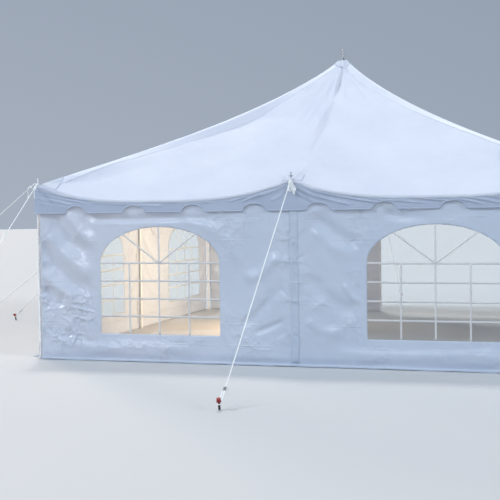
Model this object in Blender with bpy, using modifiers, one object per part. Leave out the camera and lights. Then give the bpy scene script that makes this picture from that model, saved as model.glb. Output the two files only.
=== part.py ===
"""Square pole marquee: one centre pole, eight side poles, guy ropes and stakes.

The canopy is a four-sided roof with sagging hips and a scalloped valance.
Seven of the eight bays are closed by wall panels with an arched clear window.
The eighth, at the back on the right, is the way in. Units are metres, the
origin is on the ground under the centre pole, and the front faces -Y.
"""

import math

import bmesh
import bpy
from mathutils import Matrix, Vector

# Canopy
HALF_SIDE = 3.05        # centre to the outer face of the valance
EAVE_Z = 2.00           # top of the canopy where a side pole carries it
PEAK_Z = 3.69           # top of the canopy at the crown
HIP_SAG = 0.166         # a hip hangs this far below a straight line where it is lowest,
HIP_SHARE = 0.37        # which is at this share of the way from crown to hem
HIP_POWER = 0.75        # below 1 the hip drops steeply at the crown and is straighter at the corner
PANEL_SAG = 0.05        # a roof panel hangs this far below its hips at mid slope
RIDGE_DROP = 0.08       # step down from a hip's taut webbing to the cloth beside it
RIDGE_WIDTH = 0.07      # the step is this wide
RIDGE_SHARE = 1 / 3     # and is deepest at this share of the way from crown to hem
EAVE_DIP = 0.19         # the eave hangs this far between two poles
DIP_POWER = 3.0         # how fast the dips between poles fade up the slope
DIP_FULLNESS = 3.0      # how flat a dip is along the eave
CANOPY_T = 0.003        # thickness of the roof cloth
HEM_WIDTH = 0.055       # level band along the eave that takes the grommets
MID_LEVEL = 0.014       # the hem stays level this far past a middle pole
CORNER_LEVEL = 0.070    # and this far past a corner pole
CROWN_HALF = 0.065      # half the width of the square crown
CROWN_T = 0.006         # thickness of the reinforced crown
ROOF_ROWS = 8           # grid rows from the crown to the hem
BAY_COLUMNS = 8         # grid columns between the flats of one bay
COLUMN_GATHER = 0.6     # how much the columns gather near the poles, 0 for even

# Valance
VALANCE_Z = 1.665       # height of its lower edge
VALANCE_T = 0.003
NOTCH_PITCH = 0.704     # from one arched notch to the next
NOTCH_ASIDE = -0.053    # the row of notches is this far to the right of the middle pole, seen from outside
NOTCH_WIDTH = 0.26
NOTCH_HEIGHT = 0.08
NOTCH_STEPS = 6

# Walls and windows
WALL_T = 0.003
WALL_SET_BACK = 0.012   # outer face of a wall behind the outer face of the valance
CORNER_SLIT = 0.010     # open slit between a wall's edge and the corner pole
FLAP_WIDTH = 0.10       # sod flap that lies outward on the ground
WINDOW_HALF = 0.710
WINDOW_SILL = 0.300
WINDOW_SPRING = 1.100
WINDOW_RISE = 0.402
WINDOW_STEPS = 14
# These windows are off the middle of their bay, by this much to the right seen from outside
WINDOW_ASIDE = {("left", "back"): -0.37, ("left", "front"): -0.25}
FILM_T = 0.002
FILM_LAP = 0.025        # the clear film laps behind the wall by this much

# Poles
POLE_R = 0.016
POLE_CAP_R = 0.0185     # plastic foot
POLE_CAP_H = 0.040
CENTRE_POLE_R = 0.025
CENTRE_FOOT_R = 0.060
CENTRE_FOOT_H = 0.008
PIN_R = 0.0060
PIN_RISE = 0.080        # a side pole's pin above the canopy
PEAK_PIN_R = 0.0080
PEAK_PIN_RISE = 0.190
PIN_TIP = 0.5           # flat tip of a pin as a share of its radius
PIN_HOLE_DEPTH = 0.1
ROUND_STEPS = 16        # sides of every round piece

# Guy ropes and stakes
ROPE_R = 0.00475
ROPE_TAIL = 0.024       # short leg of the loop round a pin
ROPE_RETURN = 0.36      # doubled strand from the stake back to the slider
ROPE_PAIR = 0.0065      # half the distance of the two strands at the slider
LOOP_STEPS = 6
STAKE_REACH = 2.507     # valance to the foot of a stake
STAKE_R = 0.008
STAKE_LEAN = math.radians(14)
# The right and left middle poles have two guys, turned this far from straight out towards these sides
SIDE_GUY_TURNS = (("front", math.radians(8)), ("back", math.radians(16)))
STAKE_LOOP = 0.055      # height of the rope's loop along the stake
STAKE_HEAD_R = 0.016
STAKE_HEAD_H = 0.026
STAKE_BEVEL = 0.003
STAKE_TOP = 0.105       # along the stake, above the ground
STAKE_BURIED = 0.050

GAP = 0.0003            # clearance between pieces that touch
MERGE = 0.00001         # corners closer than this are one corner

# Places that follow from the sizes above
WALL_OUT = HALF_SIDE - WALL_SET_BACK
WALL_IN = WALL_OUT - WALL_T
POLE_LINE = WALL_IN - GAP - POLE_CAP_R
HEM_LINE = HALF_SIDE - HEM_WIDTH
POLE_TOP = EAVE_Z - CANOPY_T - GAP
MID_FLAT = POLE_R + MID_LEVEL
CORNER_FLAT = HALF_SIDE - POLE_LINE + POLE_R + CORNER_LEVEL
WALL_EDGE = POLE_LINE - POLE_R - CORNER_SLIT
WINDOW_CENTRE = HALF_SIDE / 2
STAKE_LINE = HALF_SIDE + STAKE_REACH

SIDES = ("front", "right", "back", "left")
WALLS = (
    ("front", "left", -1), ("front", "right", 1),
    ("right", "front", -1), ("right", "back", 1),
    ("back", "left", 1),
    ("left", "back", -1), ("left", "front", 1),
)


def clear_scene():
    for obj in list(bpy.data.objects):
        bpy.data.objects.remove(obj, do_unlink=True)


def make_collection(name):
    collection = bpy.data.collections.new(name)
    bpy.context.scene.collection.children.link(collection)
    return collection


def make_material(name, colour, roughness, metallic=0.0, alpha=1.0):
    material = bpy.data.materials.new(name)
    material.use_nodes = True
    shader = material.node_tree.nodes["Principled BSDF"]
    shader.inputs["Base Color"].default_value = (*colour, 1.0)
    shader.inputs["Roughness"].default_value = roughness
    shader.inputs["Metallic"].default_value = metallic
    shader.inputs["Alpha"].default_value = alpha
    return material


def make_object(name, data, material, matrix, collection):
    obj = bpy.data.objects.new(name, data)
    data.materials.append(material)
    obj.matrix_world = matrix
    collection.objects.link(obj)
    return obj


def side_matrix(side):
    """Turn that takes the front side to the named side."""
    return Matrix.Rotation(SIDES.index(side) * math.pi / 2, 4, "Z")


def upright(y):
    """Stand a flat XY drawing up as an XZ drawing, its middle plane at y."""
    return Matrix.Translation((0, y, 0)) @ Matrix.Rotation(math.pi / 2, 4, "X")


def cut(obj, cutter):
    modifier = obj.modifiers.new("cut_" + cutter.name, "BOOLEAN")
    modifier.operation = "DIFFERENCE"
    modifier.object = cutter


# Eave line

def eave_columns():
    """X of each grid column along half an eave, closer together near the poles."""
    start = MID_FLAT
    end = HALF_SIDE - CORNER_FLAT
    columns = [0.0]
    for step in range(BAY_COLUMNS + 1):
        share = (1 - math.cos(math.pi * step / BAY_COLUMNS)) / 2
        even = step / BAY_COLUMNS
        columns.append(start + (end - start) * (even + (share - even) * COLUMN_GATHER))
    columns.append(HALF_SIDE)
    return columns


def bay_dip(x):
    """0 over a pole and 1 at the lowest point between two poles."""
    start = MID_FLAT
    end = HALF_SIDE - CORNER_FLAT
    share = min(max((abs(x) - start) / (end - start), 0.0), 1.0)
    return 1 - abs(1 - 2 * share) ** DIP_FULLNESS


COLUMNS = eave_columns()


def eave_z(x):
    """Top of the hem above x, straight between neighbouring columns."""
    x = abs(x)
    for low, high in zip(COLUMNS, COLUMNS[1:]):
        if x <= high:
            share = (x - low) / (high - low)
            dip = bay_dip(low) + (bay_dip(high) - bay_dip(low)) * share
            return EAVE_Z - EAVE_DIP * dip
    return EAVE_Z


def under_eave(start, end):
    """Points along the underside of the hem from x = start to x = end."""
    inner = [x for x in (*(-c for c in reversed(COLUMNS[1:])), *COLUMNS)]
    stops = [start, *(x for x in inner if start < x < end), end]
    return [(x, eave_z(x) - CANOPY_T - GAP) for x in stops]


# Roof

def rise_and_fall(share, highest, power):
    """A curve along a hip: 0 at the crown and the hem, and 1 at the share named highest."""
    before = share / highest
    after = (1 - share) / (1 - highest)
    return (before * after ** (1 / highest - 1)) ** power


def ridge_step(share, beside):
    """Drop of the cloth at a distance beside a hip, which carries it as a taut ridge."""
    return RIDGE_DROP * rise_and_fall(share, RIDGE_SHARE, 2) * min(beside / RIDGE_WIDTH, 1.0)


def roof_height(share, across):
    """Canopy height at a share of the way from crown to hem, across from -1 to 1."""
    out = CROWN_HALF + (HEM_LINE - CROWN_HALF) * share
    sag = HIP_SAG * rise_and_fall(share, HIP_SHARE, HIP_POWER)
    hip = PEAK_Z + (EAVE_Z - PEAK_Z) * share - sag
    ridge = ridge_step(share, out * (1 - abs(across)))
    belly = PANEL_SAG * math.sin(math.pi * share) * (1 - across ** 2)
    dip = EAVE_DIP * share ** DIP_POWER * bay_dip(across * HEM_LINE)
    return hip - ridge - belly - dip


def roof_point(row, column_index):
    """Place of one grid vertex on the front roof panel."""
    last = len(COLUMNS) - 1
    step = column_index - last
    column = COLUMNS[abs(step)]
    at_hip = abs(step) == last
    if row <= ROOF_ROWS:
        share = row / ROOF_ROWS
        out = CROWN_HALF + (HEM_LINE - CROWN_HALF) * share
        even = abs(step) / last
        across = 1.0 if at_hip else even + (column / HEM_LINE - even) * share
        reach = out * across
        z = roof_height(share, across)
    else:
        out = HALF_SIDE
        reach = column
        z = eave_z(column)
    if at_hip:
        reach -= GAP * math.sqrt(0.5)
    return Vector((math.copysign(reach, step), -out, z))


def roof_panel(side, material, collection, pin_cutters):
    columns = 2 * (len(COLUMNS) - 1)
    rows = ROOF_ROWS + 1
    bm = bmesh.new()
    bmesh.ops.create_grid(bm, x_segments=columns, y_segments=rows, size=1)
    for vertex in bm.verts:
        column_index = round((vertex.co.x + 1) / 2 * columns)
        row = round((1 - vertex.co.y) / 2 * rows)
        vertex.co = roof_point(row, column_index)
    bmesh.ops.triangulate(bm, faces=bm.faces, quad_method="SHORT_EDGE")
    lower = bmesh.ops.extrude_face_region(bm, geom=list(bm.faces))
    moved = [item for item in lower["geom"] if isinstance(item, bmesh.types.BMVert)]
    bmesh.ops.translate(bm, vec=(0, 0, -CANOPY_T), verts=moved)
    bmesh.ops.recalc_face_normals(bm, faces=bm.faces)
    mesh = bpy.data.meshes.new("roof_panel_" + side)
    bm.to_mesh(mesh)
    bm.free()
    obj = make_object("roof_panel_" + side, mesh, material, side_matrix(side), collection)
    for cutter in pin_cutters[side]:
        cut(obj, cutter)
    return obj


def peak_crown(material, collection, cutter):
    bm = bmesh.new()
    bmesh.ops.create_cube(bm, size=1)
    width = 2 * (CROWN_HALF - GAP)
    bmesh.ops.scale(bm, vec=(width, width, CROWN_T), verts=bm.verts)
    mesh = bpy.data.meshes.new("peak_crown")
    bm.to_mesh(mesh)
    bm.free()
    place = Matrix.Translation((0, 0, PEAK_Z - CROWN_T / 2))
    obj = make_object("peak_crown", mesh, material, place, collection)
    cut(obj, cutter)


# Flat cloth pieces

def flat_curve(name, outlines, thickness, material, matrix, collection):
    """Closed outlines filled and thickened. An outline inside another is a hole."""
    curve = bpy.data.curves.new(name, "CURVE")
    curve.dimensions = "2D"
    curve.fill_mode = "BOTH"
    curve.extrude = thickness / 2
    curve.resolution_u = 1
    curve.render_resolution_u = 0
    for outline in outlines:
        spline = curve.splines.new("POLY")
        spline.points.add(len(outline) - 1)
        for point, (x, z) in zip(spline.points, outline):
            point.co = (x, z, 0, 1)
        spline.use_cyclic_u = True
    return make_object(name, curve, material, matrix, collection)


def curve_to_mesh(obj, collection):
    """The same piece as a welded mesh, which can take a Boolean."""
    bpy.context.view_layer.update()
    evaluated = obj.evaluated_get(bpy.context.evaluated_depsgraph_get())
    mesh = bpy.data.meshes.new_from_object(evaluated)
    bm = bmesh.new()
    bm.from_mesh(mesh)
    bmesh.ops.remove_doubles(bm, verts=bm.verts, dist=MERGE)
    bm.to_mesh(mesh)
    bm.free()
    name = obj.name
    matrix = obj.matrix_world.copy()
    bpy.data.objects.remove(obj, do_unlink=True)
    solid = bpy.data.objects.new(name, mesh)
    solid.matrix_world = matrix
    collection.objects.link(solid)
    return solid


def notch(centre):
    """Arched notch in the valance's lower edge, from right to left."""
    points = []
    for step in range(NOTCH_STEPS + 1):
        angle = math.pi * step / NOTCH_STEPS
        x = centre + NOTCH_WIDTH / 2 * math.cos(angle)
        points.append((x, VALANCE_Z + NOTCH_HEIGHT * math.sin(angle)))
    return points


def valance(side, material, collection):
    start = -HALF_SIDE
    end = HALF_SIDE - VALANCE_T - GAP
    per_half = int((HALF_SIDE - NOTCH_WIDTH) / NOTCH_PITCH + 0.5)
    outline = under_eave(start, end)
    outline.append((end, VALANCE_Z))
    for index in reversed(range(-per_half, per_half)):
        outline.extend(notch((index + 0.5) * NOTCH_PITCH + NOTCH_ASIDE))
    outline.append((start, VALANCE_Z))
    matrix = side_matrix(side) @ upright(-HALF_SIDE + VALANCE_T / 2)
    name = "valance_" + side
    flat_curve(name, [outline], VALANCE_T, material, matrix, collection)


def window_outline(centre, margin):
    """Arched window, grown all round by the margin."""
    half = WINDOW_HALF + margin
    rise = WINDOW_RISE + margin
    low = WINDOW_SILL - margin
    points = [(centre - half, low), (centre + half, low)]
    for step in range(WINDOW_STEPS + 1):
        angle = math.pi * step / WINDOW_STEPS
        points.append((centre + half * math.cos(angle), WINDOW_SPRING + rise * math.sin(angle)))
    return points


def wall_panel(side, end, hand, cloth, film, collection, cutters):
    """Wall panel and window film of one bay. Hand is -1 for the bay at -X, seen from outside."""
    near = hand * GAP / 2
    far = hand * WALL_EDGE
    start, stop = min(near, far), max(near, far)
    centre = hand * WINDOW_CENTRE + WINDOW_ASIDE.get((side, end), 0.0)
    outline = [(start, 0.0), *under_eave(start, stop), (stop, 0.0)]
    matrix = side_matrix(side) @ upright(-(WALL_OUT + WALL_IN) / 2)
    name = f"wall_{side}_{end}"
    plate = flat_curve(name, [outline, window_outline(centre, 0)], WALL_T, cloth, matrix, collection)
    plate = curve_to_mesh(plate, collection)
    bm = bmesh.new()
    bmesh.ops.create_cube(bm, size=1)
    bmesh.ops.scale(bm, vec=(stop - start, FLAP_WIDTH + WALL_T / 2, WALL_T), verts=bm.verts)
    mesh = bpy.data.meshes.new(name + "_flap")
    bm.to_mesh(mesh)
    bm.free()
    middle = WALL_OUT + (FLAP_WIDTH - WALL_T / 2) / 2
    place = Matrix.Translation(((start + stop) / 2, -middle, WALL_T / 2))
    flap = make_object(name + "_flap", mesh, cloth, side_matrix(side) @ place, cutters)
    joint = plate.modifiers.new("sod_flap", "BOOLEAN")
    joint.operation = "UNION"
    joint.object = flap
    film_y = -(WALL_IN - GAP - FILM_T / 2)
    matrix = side_matrix(side) @ upright(film_y)
    name = f"window_{side}_{end}"
    flat_curve(name, [window_outline(centre, FILM_LAP)], FILM_T, film, matrix, collection)


# Round pieces

def turned(name, profile, material, matrix, collection):
    """Solid of revolution. The profile runs down its outer side, from axis to axis."""
    bm = bmesh.new()
    vertices = [bm.verts.new((x, 0, z)) for x, z in profile]
    for first, second in zip(vertices, vertices[1:]):
        bm.edges.new((first, second))
    mesh = bpy.data.meshes.new(name)
    bm.to_mesh(mesh)
    bm.free()
    obj = make_object(name, mesh, material, matrix, collection)
    screw = obj.modifiers.new("turn", "SCREW")
    screw.steps = ROUND_STEPS
    screw.render_steps = ROUND_STEPS
    screw.use_merge_vertices = True
    screw.merge_threshold = MERGE
    screw.use_smooth_shade = False
    return obj


def side_pole(name, x, y, material, collection):
    profile = [
        (0, EAVE_Z + PIN_RISE),
        (PIN_R * PIN_TIP, EAVE_Z + PIN_RISE),
        (PIN_R, EAVE_Z + PIN_RISE - PIN_R),
        (PIN_R, POLE_TOP),
        (POLE_R, POLE_TOP),
        (POLE_R, POLE_CAP_H),
        (POLE_CAP_R, POLE_CAP_H),
        (POLE_CAP_R, 0),
        (0, 0),
    ]
    turned(name, profile, material, Matrix.Translation((x, y, 0)), collection)


def centre_pole(material, collection):
    tip = PEAK_Z + PEAK_PIN_RISE
    shoulder = PEAK_Z - CROWN_T - GAP
    profile = [
        (0, tip),
        (PEAK_PIN_R * PIN_TIP, tip),
        (PEAK_PIN_R, tip - PEAK_PIN_R),
        (PEAK_PIN_R, shoulder),
        (CENTRE_POLE_R, shoulder),
        (CENTRE_POLE_R, CENTRE_FOOT_H),
        (CENTRE_FOOT_R, CENTRE_FOOT_H),
        (CENTRE_FOOT_R, 0),
        (0, 0),
    ]
    turned("centre_pole", profile, material, Matrix.Identity(4), collection)


def pin_cutter(name, x, y, radius, top, cutters):
    bm = bmesh.new()
    bmesh.ops.create_cone(
        bm, cap_ends=True, segments=ROUND_STEPS,
        radius1=radius + GAP, radius2=radius + GAP, depth=PIN_HOLE_DEPTH,
    )
    mesh = bpy.data.meshes.new(name)
    bm.to_mesh(mesh)
    bm.free()
    cutter = bpy.data.objects.new(name, mesh)
    turn = Matrix.Rotation(math.pi / ROUND_STEPS, 4, "Z")
    cutter.matrix_world = Matrix.Translation((x, y, top)) @ turn
    cutters.objects.link(cutter)
    return cutter


# Guy ropes and stakes

def loop_points(centre, radius, along, across):
    """Half turn round a pin, from one side to the other, behind the centre."""
    reach = radius / math.cos(math.pi / LOOP_STEPS / 2)
    points = []
    for step in range(LOOP_STEPS + 1):
        angle = math.pi * step / LOOP_STEPS
        points.append(centre + reach * (across * math.cos(angle) + along * math.sin(angle)))
    return points


def guy_rope(name, foot, outward, level, material, collection):
    """Rope from its loop on a pin, over the hem, to a loop round its stake."""
    across = Vector((-outward.y, outward.x, 0))
    up = Vector((0, 0, 1))
    lift = Vector((0, 0, EAVE_Z + ROPE_R + GAP + level * (2 * ROPE_R + GAP)))
    pin_loop = loop_points(foot + lift, PIN_R + ROPE_R + GAP, -outward, -across)
    edge = HALF_SIDE - POLE_LINE + 2 * ROPE_R
    over_edge = pin_loop[-1] + outward * edge
    tail = pin_loop[0] + outward * ROPE_TAIL
    stake = foot + outward * (STAKE_LINE - POLE_LINE)
    axis = outward * math.sin(STAKE_LEAN) + up * math.cos(STAKE_LEAN)
    along = outward * math.cos(STAKE_LEAN) - up * math.sin(STAKE_LEAN)
    hold = stake + axis * STAKE_LOOP
    stake_loop = loop_points(hold, STAKE_R + ROPE_R + GAP, along, across)
    pull = (over_edge - stake_loop[0]).normalized()
    slider = stake_loop[0] + pull * ROPE_RETURN - across * 2 * ROPE_PAIR
    points = [tail, *pin_loop, over_edge, *stake_loop, slider]
    curve = bpy.data.curves.new(name, "CURVE")
    curve.dimensions = "3D"
    curve.bevel_depth = ROPE_R
    curve.bevel_resolution = 2
    curve.use_fill_caps = True
    curve.resolution_u = 1
    curve.render_resolution_u = 0
    spline = curve.splines.new("POLY")
    spline.points.add(len(points) - 1)
    for point, place in zip(spline.points, points):
        point.co = (*place, 1)
    make_object(name, curve, material, Matrix.Identity(4), collection)


def stake(name, foot, outward, material, collection, ground):
    profile = [
        (0, STAKE_TOP),
        (STAKE_HEAD_R - STAKE_BEVEL, STAKE_TOP),
        (STAKE_HEAD_R, STAKE_TOP - STAKE_BEVEL),
        (STAKE_HEAD_R, STAKE_TOP - STAKE_HEAD_H),
        (STAKE_R, STAKE_TOP - STAKE_HEAD_H),
        (STAKE_R, -STAKE_BURIED),
        (0, -STAKE_BURIED),
    ]
    place = foot + outward * (STAKE_LINE - POLE_LINE)
    across = Vector((-outward.y, outward.x, 0))
    matrix = Matrix.Translation(place) @ Matrix.Rotation(STAKE_LEAN, 4, across)
    obj = turned(name, profile, material, matrix, collection)
    cut(obj, ground)


def ground_cutter(cutters):
    """Block below the ground, which trims the stakes level with it."""
    bm = bmesh.new()
    bmesh.ops.create_cube(bm, size=1)
    width = 2 * (STAKE_LINE + STAKE_TOP)
    depth = 2 * (STAKE_BURIED + STAKE_HEAD_R)
    bmesh.ops.scale(bm, vec=(width, width, depth), verts=bm.verts)
    mesh = bpy.data.meshes.new("ground_cutter")
    bm.to_mesh(mesh)
    bm.free()
    cutter = bpy.data.objects.new("ground_cutter", mesh)
    cutter.location = (0, 0, -depth / 2)
    cutters.objects.link(cutter)
    return cutter


def pole_places():
    """Name, foot and outward directions of the guys of each side pole."""
    ways = {
        "front": Vector((0, -1, 0)), "right": Vector((1, 0, 0)),
        "back": Vector((0, 1, 0)), "left": Vector((-1, 0, 0)),
    }
    places = [(name, ways[name] * POLE_LINE, ((name, ways[name]),)) for name in ("front", "back")]
    for name in ("right", "left"):
        guys = tuple(
            (f"{name}_{end}", ways[name] * math.cos(turn) + ways[end] * math.sin(turn))
            for end, turn in SIDE_GUY_TURNS
        )
        places.append((name, ways[name] * POLE_LINE, guys))
    for first in ("front", "back"):
        for second in ("left", "right"):
            name = f"{first}_{second}"
            foot = (ways[first] + ways[second]) * POLE_LINE
            guys = ((f"{name}_{first}", ways[first]), (f"{name}_{second}", ways[second]))
            places.append((name, foot, guys))
    return places


def build():
    clear_scene()
    parts = make_collection("marquee_tent")
    cutters = make_collection("cutters")

    canopy = make_material("canopy_cloth", (0.86, 0.89, 0.95), 0.45)
    wall = make_material("wall_cloth", (0.62, 0.69, 0.79), 0.50)
    film = make_material("window_film", (0.85, 0.90, 0.92), 0.12, alpha=0.35)
    pole = make_material("pole_paint", (0.82, 0.83, 0.84), 0.35)
    rope = make_material("rope", (0.80, 0.82, 0.80), 0.85)
    stake_paint = make_material("stake_paint", (0.30, 0.04, 0.04), 0.50)

    places = pole_places()
    pin_cutters = {side: [] for side in SIDES}
    for name, foot, _ in places:
        cutter = pin_cutter("pin_hole_" + name, foot.x, foot.y, PIN_R, EAVE_Z, cutters)
        for side in name.split("_"):
            pin_cutters[side].append(cutter)
    peak_hole = pin_cutter("pin_hole_peak", 0, 0, PEAK_PIN_R, PEAK_Z, cutters)
    ground = ground_cutter(cutters)

    for side in SIDES:
        roof_panel(side, canopy, parts, pin_cutters)
        valance(side, canopy, parts)
    peak_crown(canopy, parts, peak_hole)
    for side, end, hand in WALLS:
        wall_panel(side, end, hand, wall, film, parts, cutters)

    centre_pole(pole, parts)
    for name, foot, guys in places:
        side_pole("side_pole_" + name, foot.x, foot.y, pole, parts)
        for level, (guy, outward) in enumerate(guys):
            guy_rope("guy_rope_" + guy, foot, outward, level, rope, parts)
            stake("stake_" + guy, foot, outward, stake_paint, parts, ground)

    for obj in cutters.objects:
        obj.hide_render = True
        obj.display_type = "WIRE"


build()
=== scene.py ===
"""Looks of the square pole marquee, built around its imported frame.

The canopy, valance, walls, window films and window bars are sheets of cloth with
their folds, and stand for the plain solids. Poles, ropes and stakes keep the
frame's places and get their fittings. Units are metres, and the front faces -Y.
"""

import math

import bmesh
import bpy
import numpy as np
from mathutils import Matrix, Vector
from mathutils.geometry import delaunay_2d_cdt


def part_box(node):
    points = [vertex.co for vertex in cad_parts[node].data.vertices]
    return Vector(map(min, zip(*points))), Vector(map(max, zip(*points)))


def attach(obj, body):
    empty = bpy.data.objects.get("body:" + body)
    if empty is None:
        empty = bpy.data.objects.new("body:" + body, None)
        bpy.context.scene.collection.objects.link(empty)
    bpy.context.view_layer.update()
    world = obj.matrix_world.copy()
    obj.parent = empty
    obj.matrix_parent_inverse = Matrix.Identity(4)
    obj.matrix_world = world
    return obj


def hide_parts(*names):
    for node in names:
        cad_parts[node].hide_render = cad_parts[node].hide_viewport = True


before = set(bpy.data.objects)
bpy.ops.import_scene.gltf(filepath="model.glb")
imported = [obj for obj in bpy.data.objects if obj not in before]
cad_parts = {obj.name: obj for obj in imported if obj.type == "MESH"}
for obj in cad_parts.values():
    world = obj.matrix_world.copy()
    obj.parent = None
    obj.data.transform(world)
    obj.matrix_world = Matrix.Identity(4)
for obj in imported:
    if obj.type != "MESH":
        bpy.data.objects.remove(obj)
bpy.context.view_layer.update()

# Sizes from the frame
HALF_SIDE = -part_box("valance_front")[0].y
PEAK_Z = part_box("peak_crown")[1].z
CROWN_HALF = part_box("peak_crown")[1].x
VALANCE_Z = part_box("valance_front")[0].z
POLE_LINE = -(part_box("side_pole_front")[0].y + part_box("side_pole_front")[1].y) / 2
PIN_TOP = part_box("side_pole_front")[1].z
PEAK_PIN_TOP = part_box("centre_pole")[1].z
WALL_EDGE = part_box("wall_front_right")[1].x

# Shape of the canopy, as the frame's solids have it
EAVE_Z = 2.00
HIP_SAG = 0.166
HIP_SHARE = 0.37
HIP_POWER = 0.75
HIP_REACH = 1.8         # the dips between poles fade towards a hip over this width times the share left
PANEL_SAG = 0.05
EAVE_DIP = 0.19
DIP_POWER = 3.0
DIP_START = 0.030       # the eave is level this far from a middle pole
DIP_END = 2.930         # and from here to the corner
HEM_LINE = HALF_SIDE - 0.055
RIDGE_WIDTH = 0.07
RIDGE_DROP = 0.08
RIDGE_ROUND = 0.40      # the ridge above a middle pole is rounder further up
NOTCH_PITCH = 0.704
NOTCH_ASIDE = -0.053    # the row of notches is this far off the middle pole
NOTCH_HALF = 0.13
NOTCH_HEIGHT = 0.08

# Walls and windows
WALL_PLANE = HALF_SIDE - 0.0135     # middle of the wall cloth
LAP = 0.085             # two walls overlap this much at a middle pole
LAP_LIFT = 0.0035       # the upper one of the two lies this far out
FLAP = 0.10             # sod flap on the ground
WINDOW_CENTRE = HALF_SIDE / 2
WINDOW_ASIDE = {        # these windows are off the middle of their bays
    ("left", "back"): -0.37, ("left", "front"): -0.25,
}
WINDOW_HALF = 0.710
WINDOW_SILL = 0.300
WINDOW_SPRING = 1.100
WINDOW_RISE = 0.402
FILM_LAP = 0.025        # the film reaches this far past its opening
FILM_PITCH = 0.045
BAR_WIDTH = 0.021
BAR_COLUMNS = 4
BAR_ROWS = 4
RAY_REACH = 0.605       # a ray ends at this share of the window's half width
RAY_TOP = 0.80          # and at this share of the arch's rise
PACK_FOLD = 0.23        # distance of the level creases from packing
PACK_FOLD_START = 0.20
PACK_FOLD_ACROSS = 0.76 # and of the upright ones
PACK_LINE = 0.010       # half width of such a crease
TOP_GAP = 0.008         # a wall ends this far below the eave
FOOT_HEIGHT = 0.10      # a wall bends outward below this height
FOOT_BEND = 0.008
FOOT_BEND_HEIGHT = 0.02
FRONT_PITCH = 0.018     # distance of the points in the front walls, and in the others
OTHER_PITCH = 0.026
GROUND_GAP = 0.0015     # the flap's middle lies this high
FILM_BACK = 0.0022      # the film lies this far behind the wall
BAR_LIFT = 0.0004       # crossing bars lie in layers of this step
BAR_FRONT = 0.0004      # and the bars this far in front of the wall's middle
UV_STEP = 10            # texture places of one side's walls lie this far from the next side's

FOLD_DEPTH = 2.3        # the walls' folds, deepened from the depths listed
LEAN = 0.022            # a wall is drawn out this much at its foot
LEAN_HEIGHT = 0.42
CLOTH_T = 0.0012        # thickness of the cloth, the film, the bars and the seams' bands
FILM_T = 0.0005
BAR_T = 0.0010
BAND_T = 0.0008
SHARP_ANGLE = math.radians(40)
UP = np.array([0.0, 0.0, 1.0])
SIDES = ("front", "right", "back", "left")
WALLS = (
    ("front", "left", -1), ("front", "right", 1),
    ("right", "front", -1), ("right", "back", 1),
    ("back", "left", 1),
    ("left", "back", -1), ("left", "front", 1),
)


# Numbers over arrays

def smoothstep(x):
    x = np.clip(x, 0.0, 1.0)
    return x * x * (3 - 2 * x)


def noise(u, v, size, seed):
    """Smooth noise from -1 to 1 over two arrays, about one hill every size metres."""
    cells = 96
    hills = np.random.default_rng(seed).uniform(-1, 1, (cells, cells))
    a, b = np.asarray(u) / size, np.asarray(v) / size
    i, j = np.floor(a).astype(int), np.floor(b).astype(int)
    s, t = smoothstep(a - i), smoothstep(b - j)
    near = hills[i % cells, j % cells] * (1 - s) + hills[(i + 1) % cells, j % cells] * s
    far = hills[i % cells, (j + 1) % cells] * (1 - s) + hills[(i + 1) % cells, (j + 1) % cells] * s
    return near * (1 - t) + far * t


def crumple(u, v, size, seed):
    """Sharp ridges from 0 to 1, as in crumpled cloth."""
    bend = noise(u, v, size * 2.3, seed + 1) * size * 0.6
    return (1 - np.abs(noise(u + bend, v - bend, size, seed))) ** 3


def along_line(u, v, line):
    """Distance of each point to a broken line, and how far along the nearest place is."""
    line = np.asarray(line, float)
    steps = np.linalg.norm(np.diff(line, axis=0), axis=1)
    starts = np.concatenate([[0.0], np.cumsum(steps)])
    best = np.full(np.shape(u), 1e9)
    share = np.zeros(np.shape(u))
    for (au, av), (bu, bv), start, step in zip(line, line[1:], starts, steps):
        du, dv = (bu - au) / step, (bv - av) / step
        t = np.clip((u - au) * du + (v - av) * dv, 0, step)
        distance = np.hypot(u - au - t * du, v - av - t * dv)
        nearer = distance < best
        best = np.where(nearer, distance, best)
        share = np.where(nearer, (start + t) / starts[-1], share)
    return best, share


def fold(u, v, line, width, height, fade):
    """A fold along a broken line that fades out towards both ends."""
    distance, share = along_line(u, v, line)
    ends = smoothstep(share / fade) * smoothstep((1 - share) / fade)
    return height * np.exp(-(distance / width) ** 2) * ends


def curve_through(points, per_step):
    """Points on a smooth curve through the given ones (Catmull-Rom)."""
    p = [np.asarray(q, float) for q in points]
    p = [2 * p[0] - p[1], *p, 2 * p[-1] - p[-2]]
    out = []
    for a, b, c, d in zip(p, p[1:], p[2:], p[3:]):
        for t in np.linspace(0, 1, per_step, endpoint=False):
            out.append(0.5 * (2 * b + (c - a) * t + (2 * a - 5 * b + 4 * c - d) * t ** 2
                              + (3 * b - a - 3 * c + d) * t ** 3))
    out.append(p[-2])
    return np.array(out)


def turn_to(side, x, y):
    """Turn plan places of the front side to another side."""
    for _ in range(SIDES.index(side)):
        x, y = -y, x
    return x, y


def grid(first, second):
    """Two arrays over a grid, the first one along its rows and the second one along its columns."""
    return np.meshgrid(first, second, indexing="ij")


# Objects

def show(name, mesh, material, nodes=()):
    """Make the piece with this mesh, and hide the nodes it stands for."""
    obj = bpy.data.objects.new(name, mesh)
    mesh.materials.append(material)
    bpy.context.scene.collection.objects.link(obj)
    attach(obj, "root")
    if nodes:
        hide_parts(*nodes)
    return obj


def show_cloth(name, mesh, cloth, nodes=(), thickness=CLOTH_T):
    """A piece of cloth, whose mesh is the middle of its thickness."""
    obj = show(name, mesh, cloth, nodes)
    modifier = obj.modifiers.new("thickness", "SOLIDIFY")
    modifier.thickness = thickness
    modifier.offset = 0.0
    return obj


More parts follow.
